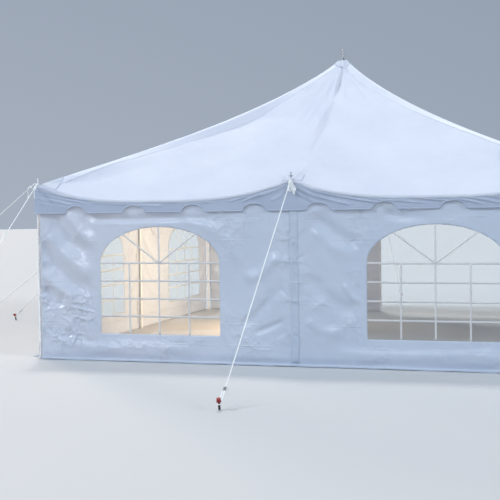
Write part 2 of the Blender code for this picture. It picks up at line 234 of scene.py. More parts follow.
def mesh_from(name, points, faces, uv=None):
    mesh = bpy.data.meshes.new(name)
    mesh.from_pydata(np.asarray(points).tolist(), [], np.asarray(faces).tolist())
    if uv is not None:
        corner = np.zeros(len(mesh.loops), int)
        mesh.loops.foreach_get("vertex_index", corner)
        layer = mesh.uv_layers.new(name="Cloth")
        layer.data.foreach_set("uv", np.asarray(uv, np.float32)[corner].ravel())
    mesh.shade_smooth()
    return mesh


def grid_faces(rows, columns, closed=False, wrapped=False):
    """Quads of a grid whose points are listed row by row. Closed joins its sides, and wrapped its ends."""
    r, c = np.meshgrid(np.arange(rows - (not wrapped)), np.arange(columns - (not closed)), indexing="ij")
    n, m = (c + 1) % columns, (r + 1) % rows
    quads = [r * columns + c, r * columns + n, m * columns + n, m * columns + c]
    return np.stack([q.ravel() for q in quads], axis=1)


def sew(name, side, x, y, z, places, cloth, faces=None, nodes=(), thickness=CLOTH_T):
    """A piece of cloth from points as they lie on the front side, turned to its side. They can be a grid."""
    faces = grid_faces(*x.shape) if faces is None else faces
    points = np.stack([part.ravel() for part in (*turn_to(side, x, y), z)], axis=1)
    mesh = mesh_from(name, points, faces, np.stack([part.ravel() for part in places], axis=1))
    return show_cloth(name, mesh, cloth, nodes, thickness)


def joined(parts):
    """One part from several, each with its points, its faces and what else it lists for its points."""
    starts = np.cumsum([0] + [len(part[0]) for part in parts[:-1]])
    parts = [(part[0], part[1] + start, *part[2:]) for part, start in zip(parts, starts)]
    return [np.concatenate(some) for some in zip(*parts)]


def lathe(profile, sides, centre=(0, 0, 0)):
    """Points and faces of a turned shape. The profile of (radius, height) runs upward."""
    radius, height = np.array(profile).T[:, :, None]
    angle = 2 * math.pi * np.arange(sides) / sides
    points = np.stack(np.broadcast_arrays(radius * np.cos(angle), radius * np.sin(angle), height), axis=-1)
    return points.reshape(-1, 3) + np.asarray(centre), grid_faces(len(profile), sides, closed=True)


def directions(path):
    """Unit steps along a path, one at each of its points."""
    ways = np.gradient(path, axis=0)
    return ways / np.linalg.norm(ways, axis=1)[:, None]


def tube(path, radius, sides):
    """Points, faces and texture places of a tube along a path."""
    path = np.asarray(path, float)
    ways = directions(path)
    side = np.cross(ways[0], (0.3, 0.2, 0.9))
    length = np.concatenate([[0.0], np.cumsum(np.linalg.norm(np.diff(path, axis=0), axis=1))])
    round_share = np.arange(sides) / sides
    angle = 2 * math.pi * round_share[:, None]
    points, places = [], []
    for place, way, run in zip(path, ways, length):
        side = side - way * np.dot(side, way)
        side /= np.linalg.norm(side)
        points.append(place + radius * (side * np.cos(angle) + np.cross(way, side) * np.sin(angle)))
        places.append(np.stack([round_share, np.full(sides, run)], axis=1))
    return np.concatenate(points), grid_faces(len(path), sides, closed=True), np.concatenate(places)


def cap_ends(mesh):
    bm = bmesh.new()
    bm.from_mesh(mesh)
    bmesh.ops.holes_fill(bm, edges=[e for e in bm.edges if e.is_boundary])
    bmesh.ops.recalc_face_normals(bm, faces=bm.faces)
    bm.to_mesh(mesh)
    bm.free()
    mesh.shade_smooth()
    mesh.set_sharp_from_angle(angle=SHARP_ANGLE)


def show_solid(name, parts, material, nodes=()):
    """A piece from one or several parts, with their open ends capped."""
    mesh = mesh_from(name, *joined(parts))
    cap_ends(mesh)
    show(name, mesh, material, nodes)


def set_inputs(tree, node, inputs):
    """Set a node's inputs to values, or link them to sockets."""
    for key, value in inputs.items():
        if isinstance(value, bpy.types.NodeSocket):
            tree.links.new(value, node.inputs[key])
        else:
            node.inputs[key].default_value = value


# Materials

def new_material(name):
    material = bpy.data.materials.new(name)
    material.use_nodes = True
    return material, material.node_tree, material.node_tree.nodes["Principled BSDF"]


def add(tree, kind, inputs=None, **settings):
    """A shader node with its settings and inputs."""
    node = tree.nodes.new("ShaderNode" + kind)
    for key, value in settings.items():
        setattr(node, key, value)
    set_inputs(tree, node, inputs or {})
    return node


def cloth_place(tree):
    """Where on the cloth a point lies, in metres, as one vector and as its two parts."""
    place = add(tree, "UVMap", uv_map="Cloth").outputs["UV"]
    split = add(tree, "SeparateXYZ", {"Vector": place}).outputs
    return place, split["X"], split["Y"]


def math_node(tree, operation, first, second=0.0, third=0.0):
    return add(tree, "Math", {0: first, 1: second, 2: third}, operation=operation).outputs[0]


def clouds(tree, place, **inputs):
    return add(tree, "TexNoise", {"Vector": place, **inputs}).outputs["Fac"]


def bump(tree, height, distance, strength=1.0, **inputs):
    inputs = {"Height": height, "Distance": distance, "Strength": strength, **inputs}
    return add(tree, "Bump", inputs).outputs["Normal"]


def ramp(tree, factor, stops):
    node = add(tree, "ValToRGB", {"Fac": factor})
    elements = node.color_ramp.elements
    while len(elements) < len(stops):
        elements.new(0.5)
    for element, (place, colour) in zip(elements, stops):
        element.position = place
        element.color = (*colour, 1.0)
    return node.outputs["Color"]


def mix_to_output(tree, share, first, second):
    """Show the first shader with this share of the second one."""
    mix = add(tree, "MixShader", {"Fac": share, 1: first.outputs["BSDF"], 2: second.outputs["BSDF"]})
    tree.links.new(mix.outputs["Shader"], tree.nodes["Material Output"].inputs["Surface"])


def packing_lines(tree, coordinate, pitch, start):
    """Thin straight ridges at an even pitch."""
    turns = math_node(tree, "DIVIDE", math_node(tree, "SUBTRACT", coordinate, start), pitch)
    middle = math_node(tree, "ABSOLUTE", math_node(tree, "SUBTRACT", math_node(tree, "FRACT", turns), 0.5))
    near = math_node(tree, "SUBTRACT", middle, 0.5 - PACK_LINE / pitch)
    return math_node(tree, "MAXIMUM", math_node(tree, "MULTIPLY", near, pitch / PACK_LINE), 0.0)


def crumple_height(tree, place, scale, seed):
    """Bowls that meet in sharp ridges, as in crumpled coated cloth."""
    moved = add(tree, "Mapping", {"Vector": place, "Location": (seed, seed * 0.7, 0)}).outputs["Vector"]
    warp = add(tree, "TexNoise", {"Vector": moved, "Scale": scale * 0.7, "Detail": 2.0}).outputs["Color"]
    bent = add(tree, "VectorMath", {0: warp, 1: (0.9 / scale,) * 3, 2: moved}, operation="MULTIPLY_ADD")
    cells = add(tree, "TexVoronoi", {"Vector": bent.outputs["Vector"], "Scale": scale})
    return math_node(tree, "POWER", cells.outputs["Distance"], 2.0)


def cloth_material(
    name, light, shade, through, packed=1.0, crumpled=1.0, roughness=0.40, specular=0.45, coat=0.0,
    painted_sun_tint=(1.0, 1.0, 1.0),
):
    """Coated cloth: faint blotches, creases from packing, crumples and a weave."""
    material, tree, shader = new_material(name)
    place, u, v = cloth_place(tree)
    blotches = clouds(tree, place, Scale=1.3, Detail=5.0, Roughness=0.62)
    patchy = clouds(tree, place, Scale=1.7, Detail=2.0)
    patches = ramp(tree, patchy, [(0.46, (0.04, 0.04, 0.04)), (0.68, (1, 1, 1))])
    level = packing_lines(tree, v, PACK_FOLD, PACK_FOLD_START)
    upright = packing_lines(tree, u, PACK_FOLD_ACROSS, 0.02)
    lines = math_node(tree, "MULTIPLY_ADD", upright, 0.6, level)
    large, small = crumple_height(tree, place, 6.5, 3.1), crumple_height(tree, place, 21.0, 7.7)
    large, small, lines = (math_node(tree, "MULTIPLY", height, patches) for height in (large, small, lines))
    bend = clouds(tree, place, Scale=2.8, Detail=1.4, Distortion=0.6)
    weave = add(tree, "TexWave", {"Vector": place, "Scale": 160.0}, bands_direction="DIAGONAL")
    normal = bump(tree, bend, 0.012 * crumpled)
    for height, distance in (
        (large, 0.014 * crumpled), (small, 0.0035 * crumpled), (lines, 0.0035 * packed),
        (weave.outputs["Fac"], 0.00006),
    ):
        normal = bump(tree, height, distance, Normal=normal)

    tones = ((0.30, shade), (0.70, light))
    set_inputs(tree, shader, {
        "Base Color": ramp(tree, blotches, tones), "Normal": normal,
        "Roughness": math_node(tree, "MULTIPLY_ADD", patchy, 0.16, roughness - 0.08),
        "Specular IOR Level": specular, "Coat Weight": coat, "Coat Roughness": 0.16,
    })
    # The light coming through is tinted warm: painted warm sunlight, not a colour of the cloth.
    warm = [(at, tuple(a * b for a, b in zip(tone, painted_sun_tint))) for at, tone in tones]
    behind = add(tree, "BsdfTranslucent", {"Color": ramp(tree, blotches, warm), "Normal": normal})
    mix_to_output(tree, through, shader, behind)
    return material


def film_material():
    """Clear soft film: mostly see-through, with long ripples and a faint haze."""
    material, tree, shader = new_material("window_film")
    ripple = clouds(tree, cloth_place(tree)[0], Scale=4.0, Detail=3.0, Distortion=0.8)
    set_inputs(tree, shader, {
        "Base Color": (0.86, 0.90, 0.93, 1), "Roughness": 0.09, "Normal": bump(tree, ripple, 0.010),
    })
    clear = add(tree, "BsdfTransparent", {"Color": (0.96, 0.98, 0.985, 1)})
    mix_to_output(tree, math_node(tree, "MULTIPLY_ADD", ripple, 0.06, 0.02), clear, shader)
    return material


def hard_material(name, light, dark, roughness, metallic=0.0, dent=0.0006):
    """Painted, plastic or bare metal surface with scuffs."""
    material, tree, shader = new_material(name)
    scuffs = clouds(tree, add(tree, "TexCoord").outputs["Object"], Scale=30.0, Detail=6.0, Roughness=0.65)
    set_inputs(tree, shader, {
        "Base Color": ramp(tree, scuffs, [(0.34, dark), (0.58, light)]), "Metallic": metallic,
        "Roughness": math_node(tree, "MULTIPLY_ADD", scuffs, -0.25, roughness + 0.12),
        "Normal": bump(tree, scuffs, dent, Strength=0.6),
    })
    return material


def rope_material():
    """Braided rope: two sets of strands that wind round it both ways."""
    material, tree, shader = new_material("braided_rope")
    _, u, v = cloth_place(tree)
    around = math_node(tree, "MULTIPLY", u, 2 * math.pi * 4)
    onward = math_node(tree, "MULTIPLY", v, 2 * math.pi / 0.011)
    turns = (math_node(tree, way, around, onward) for way in ("ADD", "SUBTRACT"))
    strands = math_node(tree, "MULTIPLY", *(math_node(tree, "SINE", turn) for turn in turns))
    strands = math_node(tree, "MULTIPLY_ADD", strands, 0.5, 0.5)
    # Darker in the braid's grooves, where the bump is lowest: painted shade between the strands.
    set_inputs(tree, shader, {
        "Base Color": ramp(tree, strands, [(0.0, (0.66, 0.69, 0.68)), (0.6, (0.93, 0.95, 0.92))]),
        "Normal": bump(tree, strands, 0.0012), "Roughness": 0.8,
    })
    return material


# Canopy

FRONT_HIP_STEPS = {     # shares along the front hips, and how far the cloth beside the hip hangs there
    -1: ((0.12, 0.20, 0.32, 0.40, 0.52, 0.66, 0.80), (0, 0.03, 0.10, 0.10, 0.064, 0.035, 0)),
    1: ((0.0, 0.05, 0.12, 0.19, 0.25, 0.40, 0.60), (0, 0.045, 0.065, 0.055, 0.035, 0.02, 0)),
}


def bay_dip(x):
    share = np.clip((np.abs(x) - DIP_START) / (DIP_END - DIP_START), 0, 1)
    return 1 - np.abs(1 - 2 * share) ** 3


def eave_height(x):
    return EAVE_Z - EAVE_DIP * bay_dip(x)


def rise_and_fall(share, highest, power):
    """A curve along a hip: 0 at the crown and the hem, and 1 at the share named highest."""
    before = share / highest
    after = (1 - share) / (1 - highest)
    return (before * after ** (1 / highest - 1)) ** power


def hip_step(side, hand, share):
    """How far the cloth beside a hip hangs below it, along the hip."""
    if side == "front":
        return np.interp(share, *FRONT_HIP_STEPS[hand])
    peak = {"right": 0.26, "back": 0.34, "left": 0.30}[side] + 0.05 * hand
    return RIDGE_DROP * rise_and_fall(share, peak, 2)


# Folds that run down from the crown: a line of places (along, out), its width and its height
APEX_FOLDS = {
    "front": (
        (((-0.03, 0.09), (-0.04, 0.45), (-0.09, 0.80)), 0.018, -0.009),
        (((0.02, 0.09), (0.01, 0.50), (0.00, 0.85)), 0.030, 0.007),
        (((0.10, 0.16), (0.30, 0.43), (0.44, 0.60)), 0.018, -0.005),
        (((-0.08, 0.10), (-0.22, 0.42), (-0.30, 0.70)), 0.030, 0.002),
    ),
    "right": (
        (((0.02, 0.09), (0.06, 0.40), (0.05, 0.75)), 0.024, -0.013),
        (((-0.06, 0.10), (-0.20, 0.40), (-0.34, 0.66)), 0.022, -0.008),
    ),
    "back": (
        (((0.04, 0.09), (0.12, 0.42), (0.24, 0.78)), 0.024, -0.014),
        (((-0.04, 0.09), (-0.10, 0.40), (-0.12, 0.70)), 0.020, -0.008),
        (((-0.09, 0.14), (-0.28, 0.42), (-0.40, 0.58)), 0.022, 0.007),
    ),
    "left": (
        (((-0.02, 0.09), (-0.05, 0.45), (0.02, 0.82)), 0.022, -0.012),
        (((0.08, 0.12), (0.24, 0.40), (0.36, 0.58)), 0.022, -0.009),
    ),
}


def roof_folds(side, along, out, share):
    """Folds of one roof face over its plain shape, zero at the hips."""
    seed = 40 + 10 * SIDES.index(side)
    beside, to_eave = out - np.abs(along), HALF_SIDE - out
    slack = 0.009 * noise(along, out * 0.7, 0.55, seed) + 0.004 * noise(along, out, 0.24, seed + 1)
    hanging = 0.010 * noise(along * 0.35, out, 0.20, seed + 2) * smoothstep((share - 0.62) / 0.2)
    total = slack * np.sin(math.pi * share) ** 0.5 + hanging * (1 - smoothstep((share - 0.97) / 0.03))
    for line, width, height in APEX_FOLDS[side]:
        total += fold(along, out, line, width, height, 0.25)
    angle = np.arctan2(along, out)
    streaks = noise(angle, out * 0.10, 0.050, seed + 3) + 0.6 * noise(angle, out * 0.16, 0.11, seed + 6)
    total += 0.0070 * streaks * smoothstep(out / 0.6) * (1 - smoothstep((out - 0.8) / 1.1))
    reach = np.hypot(along, to_eave)
    fan = noise(np.arctan2(along, to_eave + 0.02), reach * 0.10, 0.16, seed + 4) * smoothstep(reach / 0.06)
    total += 0.010 * fan * np.exp(-reach / 0.32)
    total += fold(along, out, ((0.0, 3.0), (-0.05, 2.24), (-0.05, 1.95)), 0.020, 0.007, 0.3)
    reach = to_eave + beside
    corner = noise(np.arctan2(beside, to_eave + 0.02), reach * 0.1, 0.2, seed + 5)
    total += 0.006 * corner * np.exp(-reach / 0.35)
    return total * smoothstep((beside - 0.02) / 0.12)


def roof_height(x, y):
    """Height of the canopy over arrays of plan places."""
    out = np.maximum(np.maximum(np.abs(x), np.abs(y)), 1e-6)
    small = np.minimum(np.abs(x), np.abs(y))
    across, beside = small / out, out - small
    share = np.clip((out - CROWN_HALF) / (HEM_LINE - CROWN_HALF), 0, 1)
    height = PEAK_Z + (EAVE_Z - PEAK_Z) * share - HIP_SAG * rise_and_fall(share, HIP_SHARE, HIP_POWER)
    height -= PANEL_SAG * np.sin(math.pi * share) * (1 - across ** 2)
    rounding = RIDGE_ROUND * (1 - share)
    aside = np.sqrt((across * np.minimum(out, HEM_LINE)) ** 2 + rounding ** 2) - rounding
    off_hip = smoothstep((beside + 0.01) / (HIP_REACH * (1 - share) + 0.01))
    height -= EAVE_DIP * share ** DIP_POWER * bay_dip(aside) * off_hip
    for side, side_out, along in (("front", -y, x), ("right", x, y), ("back", y, -x), ("left", -x, -y)):
        step = np.where(along < 0, hip_step(side, -1, share), hip_step(side, 1, share))
        change = roof_folds(side, along, out, share) - step * np.minimum(beside / RIDGE_WIDTH, 1.0)
        height = np.where(side_out >= out - 1e-9, height + change * smoothstep(share / 0.02), height)
    return height


ROLL = 0.018            # radius of the soft edge at the eave
ROLL_DROP = 0.040       # the canopy's own cloth ends this far below the eave
SEAM_LAP = 0.012        # and overlaps the valance by this much
ROOF_PITCHES = (0.0165, 0.031, 0.055)     # fine at the apex and the poles, coarse between
VALANCE_COLUMNS = 500   # points of the valance along one side
VALANCE_ROWS = 23
EAVE_COLUMNS = 320      # points of the canopy along one side of the eave
HIP_WAYS = {"front_left": (-1, -1), "front_right": (1, -1), "back_left": (-1, 1), "back_right": (1, 1)}
HIP_BORDER = RIDGE_WIDTH / math.sqrt(2)
HIP_OFFSETS = (-1.6, -1.25, -1.0, -0.75, -0.5, -0.25, 0.0, 0.25, 0.5, 0.75, 1.0, 1.25, 1.6)
EDGE = HALF_SIDE - ROLL # the eave's rounding starts here
STRAP_LENGTH = 0.130


def hip_places(sx, sy, along, offset):
    """Plan places beside a hip, at this offset across it."""
    return sx * (along + offset * math.sqrt(0.5)), sy * (along - offset * math.sqrt(0.5))


def roof_places():
    """Plan places of the canopy, close together at the apex, hips and poles, and lines along the hips."""
    places, lines = [], []
    for sx, sy in HIP_WAYS.values():
        for step in HIP_OFFSETS:
            x, y = hip_places(sx, sy, np.arange(0.12, EDGE, 0.030), step * HIP_BORDER)
            keep = np.maximum(np.abs(x), np.abs(y)) < EDGE - 0.010
            start = sum(len(some) for some in places)
            places.append(np.stack([x[keep], y[keep]], axis=1))
            if step in (-1.0, 0.0, 1.0):
                lines.extend((start + i, start + i + 1) for i in range(keep.sum() - 1))
    for level, pitch in enumerate(ROOF_PITCHES):
        some = even_places((-EDGE, -EDGE), (EDGE, EDGE), pitch, (0.0, 0.0))
        to_apex = np.hypot(*some.T)
        out, small = np.abs(some).max(axis=1), np.abs(some).min(axis=1)
        to_middle, to_corner = np.hypot(EDGE - out, small), np.hypot(EDGE - out, EDGE - small)
        fine = (to_apex < 0.75) | (to_middle < 0.45) | (to_corner < 0.30)
        medium = (to_apex < 1.2) | (to_middle < 0.80) | (out > EDGE - 0.25)
        wanted = np.where(fine, 0, np.where(medium, 1, 2))
        at_hip = (out - small < 1.6 * RIDGE_WIDTH + 0.4 * pitch) & (out > 0.11)
        places.append(some[(wanted == level) & ~at_hip & (out < EDGE - 0.45 * min(pitch, 0.0185))])
    return np.concatenate(places), lines


def make_canopy(cloth):
    """The whole roof as one sheet, over the eave to where the valance is sewn on."""
    lines = np.linspace(-EDGE, EDGE, EAVE_COLUMNS, endpoint=False)
    outline = np.concatenate([np.stack(turn_to(side, lines, 0 * lines - EDGE), axis=1) for side in SIDES])
    filling, hips = roof_places()
    count = len(outline)
    edges = [(i, (i + 1) % count) for i in range(count)] + [(a + count, b + count) for a, b in hips]
    places, triangles, sources = triangulate(np.concatenate([outline, filling]), edges)
    points = np.concatenate([places, roof_height(*places.T)[:, None]], axis=1)
    rim = np.zeros(count, int)
    for new, olds in enumerate(sources):
        for old in olds:
            if old < count:
                rim[old] = new

    rings, ring_places, faces, previous = [points], [places], [triangles], rim
    turns = (math.pi / 6, math.pi / 3, math.pi / 2)
    steps = [(ROLL * math.sin(a), ROLL * (1 - math.cos(a)), 0.0) for a in turns] + [(ROLL, ROLL_DROP, 0.0016)]
    for number, (outward, down, clear) in enumerate(steps):
        plain = EDGE + outward
        x = lines * plain / EDGE
        for side, some in zip(SIDES, np.split(rim, 4)):
            z = points[some, 2] - down
            stand = plain + clear + valance_out(side, x, z)
            rings.append(np.stack([*turn_to(side, x * stand / plain, -stand), z], axis=1))
        ring_places.append(places[rim] * (1 + (outward + down) / HALF_SIDE))
        new = len(points) + number * count + np.arange(count)
        after = np.roll(new, -1)
        faces.append(np.stack([previous, new, after], axis=1))
        faces.append(np.stack([previous, after, np.roll(previous, -1)], axis=1))
        previous = new
    mesh = mesh_from("canopy", np.concatenate(rings), np.concatenate(faces), np.concatenate(ring_places))
    nodes = ["roof_panel_" + side for side in SIDES] + ["peak_crown"]
    canopy = show_cloth("canopy", mesh, cloth, nodes)


def make_hip_tapes(cloth):
    """Webbing sewn over each hip, from the crown to the corner."""
    lateral = HIP_BORDER * np.array([-1.12, -1.03, -0.97, -0.6, -0.25, 0, 0.25, 0.6, 0.97, 1.03, 1.12])
    along, across = grid(np.linspace(CROWN_HALF * 0.9, HEM_LINE, 220), lateral)
    for name, (sx, sy) in HIP_WAYS.items():
        lay_on_roof("hip_tape_" + name, *hip_places(sx, sy, along, across), cloth)


def lay_on_roof(name, x, y, cloth, lift=0.0034):
    """A piece of cloth sewn flat on the canopy, from grids of plan places."""
    sew(name, "front", x, y, roof_height(x, y) + lift, (x, y), cloth)


def make_patches(cloth):
    """Doubled cloth round the pins: at the crown, the middle poles and the corners."""
    radius, angle = grid(np.linspace(0.010, 0.155, 14), np.linspace(0, 2 * math.pi, 49))
    lay_on_roof("crown_patch", radius * np.cos(angle), radius * np.sin(angle), cloth, 0.0052)
    out, along = grid(np.linspace(EDGE, EDGE - 0.20, 18), np.linspace(-0.11, 0.11, 20))
    for side in SIDES:
        lay_on_roof("pole_patch_" + side, *turn_to(side, along, -out), cloth)
    first, second = grid(*[np.linspace(EDGE, EDGE - 0.24, 20)] * 2)
    for name, (sx, sy) in HIP_WAYS.items():
        lay_on_roof("corner_patch_" + name, sx * first, sy * second, cloth, 0.0050)


def make_straps(cloth):
    """Gathered end of cloth that fans out from each middle pin over the valance."""
    down, across = grid(np.linspace(0, 1, 34), np.linspace(-1, 1, 44))
    for number, side in enumerate(SIDES):
        uneven = 1 + 0.22 * noise(across, 0 * across, 0.30, 900 + number)
        length = STRAP_LENGTH * (1 - 0.30 * across ** 2) * uneven
        x = 0.006 + 0.016 * down + across * (0.016 + 0.036 * down)
        z = EAVE_Z - 0.022 - length * down
        pleats = noise(across, down * 0.2, 0.17, 920 + number) * (0.3 + 0.7 * down)
        pleats += 0.8 * noise(across, down, 0.22, 940 + number)
        stand = HALF_SIDE + valance_out(side, x, z) + 0.0155 + 0.0085 * pleats
        sew("strap_" + side, side, x, -stand, z, (x, z), cloth)


# Valance

def notch_rise(x):
    """How far an arched notch lifts the valance's lower edge at x."""
    middle = (np.floor((x - NOTCH_ASIDE) / NOTCH_PITCH) + 0.5) * NOTCH_PITCH + NOTCH_ASIDE
    share = np.clip(np.abs(x - middle) / NOTCH_HALF, 0, 1)
    rise = NOTCH_HEIGHT * np.sqrt(1 - share ** 2)
    return np.where(np.abs(middle) < HALF_SIDE - NOTCH_HALF, rise, 0.0)


# Folds of the front valance: a line of places (x, z), its width and its height
FRONT_DRAPES = (
    (((0.05, 1.975), (0.18, 1.945), (0.41, 1.895), (0.63, 1.848),
      (0.85, 1.800), (1.30, 1.752)), 0.009, 0.013),
    (((0.04, 1.955), (0.14, 1.925), (0.30, 1.860), (0.50, 1.815),
      (0.75, 1.765), (1.06, 1.720)), 0.009, 0.013),
    (((0.04, 1.930), (0.12, 1.880), (0.27, 1.815), (0.45, 1.765), (0.66, 1.715)), 0.010, 0.011),
    (((0.03, 1.900), (0.10, 1.835), (0.22, 1.770), (0.38, 1.715)), 0.010, 0.009),
    (((0.45, 1.855), (0.68, 1.812), (0.95, 1.768), (1.45, 1.722)), 0.009, 0.009),
    (((0.95, 1.800), (1.25, 1.785), (1.60, 1.750), (1.85, 1.700)), 0.009, 0.010),
    (((1.35, 1.802), (1.66, 1.775), (1.88, 1.738), (2.02, 1.700)), 0.010, 0.011),
    (((1.60, 1.806), (1.86, 1.775), (2.05, 1.742), (2.20, 1.705)), 0.010, 0.010),
    (((1.88, 1.812), (2.08, 1.785), (2.24, 1.750), (2.36, 1.715)), 0.009, 0.008),
    (((-0.04, 1.970), (-0.16, 1.930), (-0.34, 1.885), (-0.60, 1.845)), 0.009, 0.011),
    (((-0.04, 1.945), (-0.14, 1.890), (-0.30, 1.840), (-0.50, 1.800)), 0.010, 0.008),
    (((-0.03, 1.900), (-0.10, 1.830), (-0.22, 1.770)), 0.010, 0.007),
    (((-0.80, 1.790), (-0.62, 1.835), (-0.40, 1.890)), 0.008, 0.009),
    (((-0.70, 1.765), (-0.52, 1.815), (-0.33, 1.868)), 0.008, 0.008),
    (((-0.55, 1.765), (-0.41, 1.812), (-0.25, 1.872)), 0.008, 0.007),
    (((-3.02, 1.950), (-2.86, 1.905), (-2.62, 1.850), (-2.30, 1.805)), 0.008, 0.008),
    (((-3.02, 1.900), (-2.84, 1.865), (-2.62, 1.820), (-2.38, 1.780)), 0.007, 0.006),
    (((-3.02, 1.850), (-2.80, 1.815), (-2.55, 1.760)), 0.008, 0.006),
    (((-3.00, 1.785), (-2.82, 1.765), (-2.62, 1.725)), 0.007, 0.005),
    (((-2.35, 1.795), (-1.90, 1.760), (-1.45, 1.735)), 0.014, 0.006),
    (((-1.70, 1.790), (-1.25, 1.770), (-0.85, 1.775)), 0.014, 0.006),
    (((3.02, 1.950), (2.84, 1.890), (2.55, 1.830), (2.20, 1.790)), 0.010, 0.012),
    (((3.02, 1.900), (2.88, 1.830), (2.68, 1.770), (2.50, 1.735)), 0.010, 0.010),
    (((3.02, 1.830), (2.90, 1.770), (2.76, 1.715)), 0.010, 0.008),
)


def drape_lines(side):
    """Folds that fall away from the pole tops along one side's valance."""
    if side == "front":
        return FRONT_DRAPES
    draw = np.random.default_rng(70 + SIDES.index(side))
    lines = []
    for pole, hand in ((-HALF_SIDE, 1), (0.0, -1), (0.0, 1), (HALF_SIDE, -1)):
        for start, reach in ((1.965, 0.95), (1.945, 0.70), (1.92, 0.45), (1.88, 0.25)):
            reach *= draw.uniform(0.8, 1.15)
            low = draw.uniform(0.14, 0.20)
            bend = draw.uniform(1.6, 2.2)
            line = [
                (pole + hand * (0.03 + reach * step), start - low * (1 - (1 - step) ** bend))
                for step in (0.0, 0.15, 0.35, 0.65, 1.0)
            ]
            lines.append((tuple(line), draw.uniform(0.009, 0.012), draw.uniform(0.007, 0.013)))
    for middle in (-2.0, -1.3, 1.2, 1.9):
        hand = draw.choice((-1, 1))
        start = middle + draw.uniform(-0.15, 0.15)
        line = ((start, 1.80), (start + hand * 0.24, 1.765), (start + hand * 0.42, 1.705))
        lines.append((line, 0.010, draw.uniform(0.006, 0.010)))
    return tuple(lines)


def valance_out(side, x, z):
    """How far the valance stands out from the eave's plane."""
    seed = 90 + 7 * SIDES.index(side)
    below = eave_height(x) - z
    total = 0.004 * (1 + noise(x, z * 0.2, 0.34, seed)) * np.clip(below / 0.15, 0, 1)
    total += 0.0016 * noise(x * 0.4, z, 0.06, seed + 1)
    for line, width, height in drape_lines(side):
        total += fold(x, z, line, width, height, 0.10)
    for pole in (-HALF_SIDE, 0.0, HALF_SIDE):
        reach = np.hypot(x - pole, EAVE_Z - z)
        rays = noise(np.arctan2(x - pole, EAVE_Z + 0.01 - z), reach * 0.2, 0.22, seed + 3 + int(pole))
        total += 0.007 * rays * np.exp(-reach / 0.10) * smoothstep(reach / 0.03)
    ends = smoothstep((below - 0.02) / 0.035) * smoothstep((HALF_SIDE - np.abs(x)) / 0.05)
    return np.maximum(total, -0.003) * ends


def valance_strip(name, x, rows, cloth, nodes=()):
    """A strip round all four sides, from rows of heights over x and how far out each row lies."""
    points = []
    for z, extra in rows:
        for number, side in enumerate(SIDES):
            stand = HALF_SIDE + valance_out(side, x, z) + extra
            turned_places = turn_to(side, x * stand / HALF_SIDE, -stand)
            points.append(np.stack([*turned_places, z, x + number * 2 * HALF_SIDE], axis=1))
    points = np.concatenate(points)
    mesh = mesh_from(name, points[:, :3], grid_faces(len(rows), 4 * len(x), closed=True), points[:, [3, 2]])
    return show_cloth(name, mesh, cloth, nodes)


def make_valance(cloth):
    x = np.linspace(-HALF_SIDE, HALF_SIDE, VALANCE_COLUMNS, endpoint=False)
    low = VALANCE_Z + notch_rise(x)
    high = eave_height(x) - ROLL_DROP + SEAM_LAP
    rows = [(high + (low - high) * r / (VALANCE_ROWS - 1), 0.0) for r in range(VALANCE_ROWS)]
    valance = valance_strip("valance", x, rows, cloth, ["valance_" + side for side in SIDES])
    binding = [(low + 0.013, 0.0014), (low + 0.001, 0.0018), (low - 0.002, 0.0)]
    valance_strip("valance_binding", x, binding, cloth)


# Walls and windows

# Folds of the front walls, listed in the same way
WALL_FOLDS = {
    ("front", "left"): (
        (((-2.86, 1.68), (-2.63, 1.37), (-2.30, 1.15)), 0.085, -0.012),
        (((-2.72, 1.72), (-2.45, 1.42), (-2.22, 1.30)), 0.075, 0.010),
        (((-3.04, 1.37), (-2.79, 1.08), (-2.51, 0.85), (-2.24, 0.75)), 0.090, -0.014),
        (((-2.98, 1.52), (-2.72, 1.22), (-2.42, 1.00), (-2.25, 0.93)), 0.070, 0.010),
        (((-3.00, 0.85), (-2.84, 0.71), (-2.65, 0.63)), 0.070, -0.012),
        (((-3.00, 1.02), (-2.78, 0.82), (-2.50, 0.68)), 0.060, 0.010),
        (((-2.60, 1.74), (-2.30, 1.62), (-1.80, 1.585), (-1.20, 1.60), (-0.70, 1.57)), 0.045, -0.010),
        (((-2.30, 1.56), (-1.85, 1.545), (-1.25, 1.545)), 0.030, 0.005),
        (((-1.35, 1.66), (-1.0, 1.50), (-0.72, 1.30), (-0.5, 1.0)), 0.080, 0.008),
        (((-0.10, 1.20), (-0.35, 0.98), (-0.55, 0.90)), 0.060, 0.008),
        (((-0.05, 0.90), (-0.25, 0.70), (-0.45, 0.48), (-0.66, 0.42)), 0.055, -0.008),
        (((-0.06, 0.49), (-0.27, 0.40), (-0.45, 0.33)), 0.030, -0.007),
        (((-2.9, 0.22), (-2.3, 0.14), (-1.6, 0.17), (-0.9, 0.12)), 0.060, 0.007),
    ),
    ("front", "right"): (
        (((0.18, 1.62), (0.45, 1.45), (0.62, 1.33), (0.78, 1.26)), 0.075, -0.011),
        (((0.20, 1.48), (0.45, 1.28), (0.75, 1.17)), 0.060, 0.008),
        (((0.95, 1.66), (1.15, 1.58), (1.5, 1.56)), 0.050, -0.008),
        (((0.12, 1.05), (0.30, 0.80), (0.55, 0.62), (0.78, 0.58)), 0.080, -0.009),
        (((0.55, 0.90), (0.68, 0.72), (0.80, 0.67)), 0.030, 0.006),
        (((0.12, 0.52), (0.32, 0.38), (0.60, 0.33)), 0.060, 0.007),
        (((2.95, 1.55), (2.70, 1.25), (2.42, 1.02), (2.28, 0.95)), 0.085, -0.012),
        (((2.90, 1.75), (2.60, 1.48), (2.30, 1.34)), 0.070, 0.010),
        (((2.98, 1.05), (2.75, 0.75), (2.45, 0.55)), 0.080, 0.010),
        (((0.3, 0.16), (1.1, 0.13), (1.9, 0.17), (2.8, 0.12)), 0.060, 0.007),
    ),
}
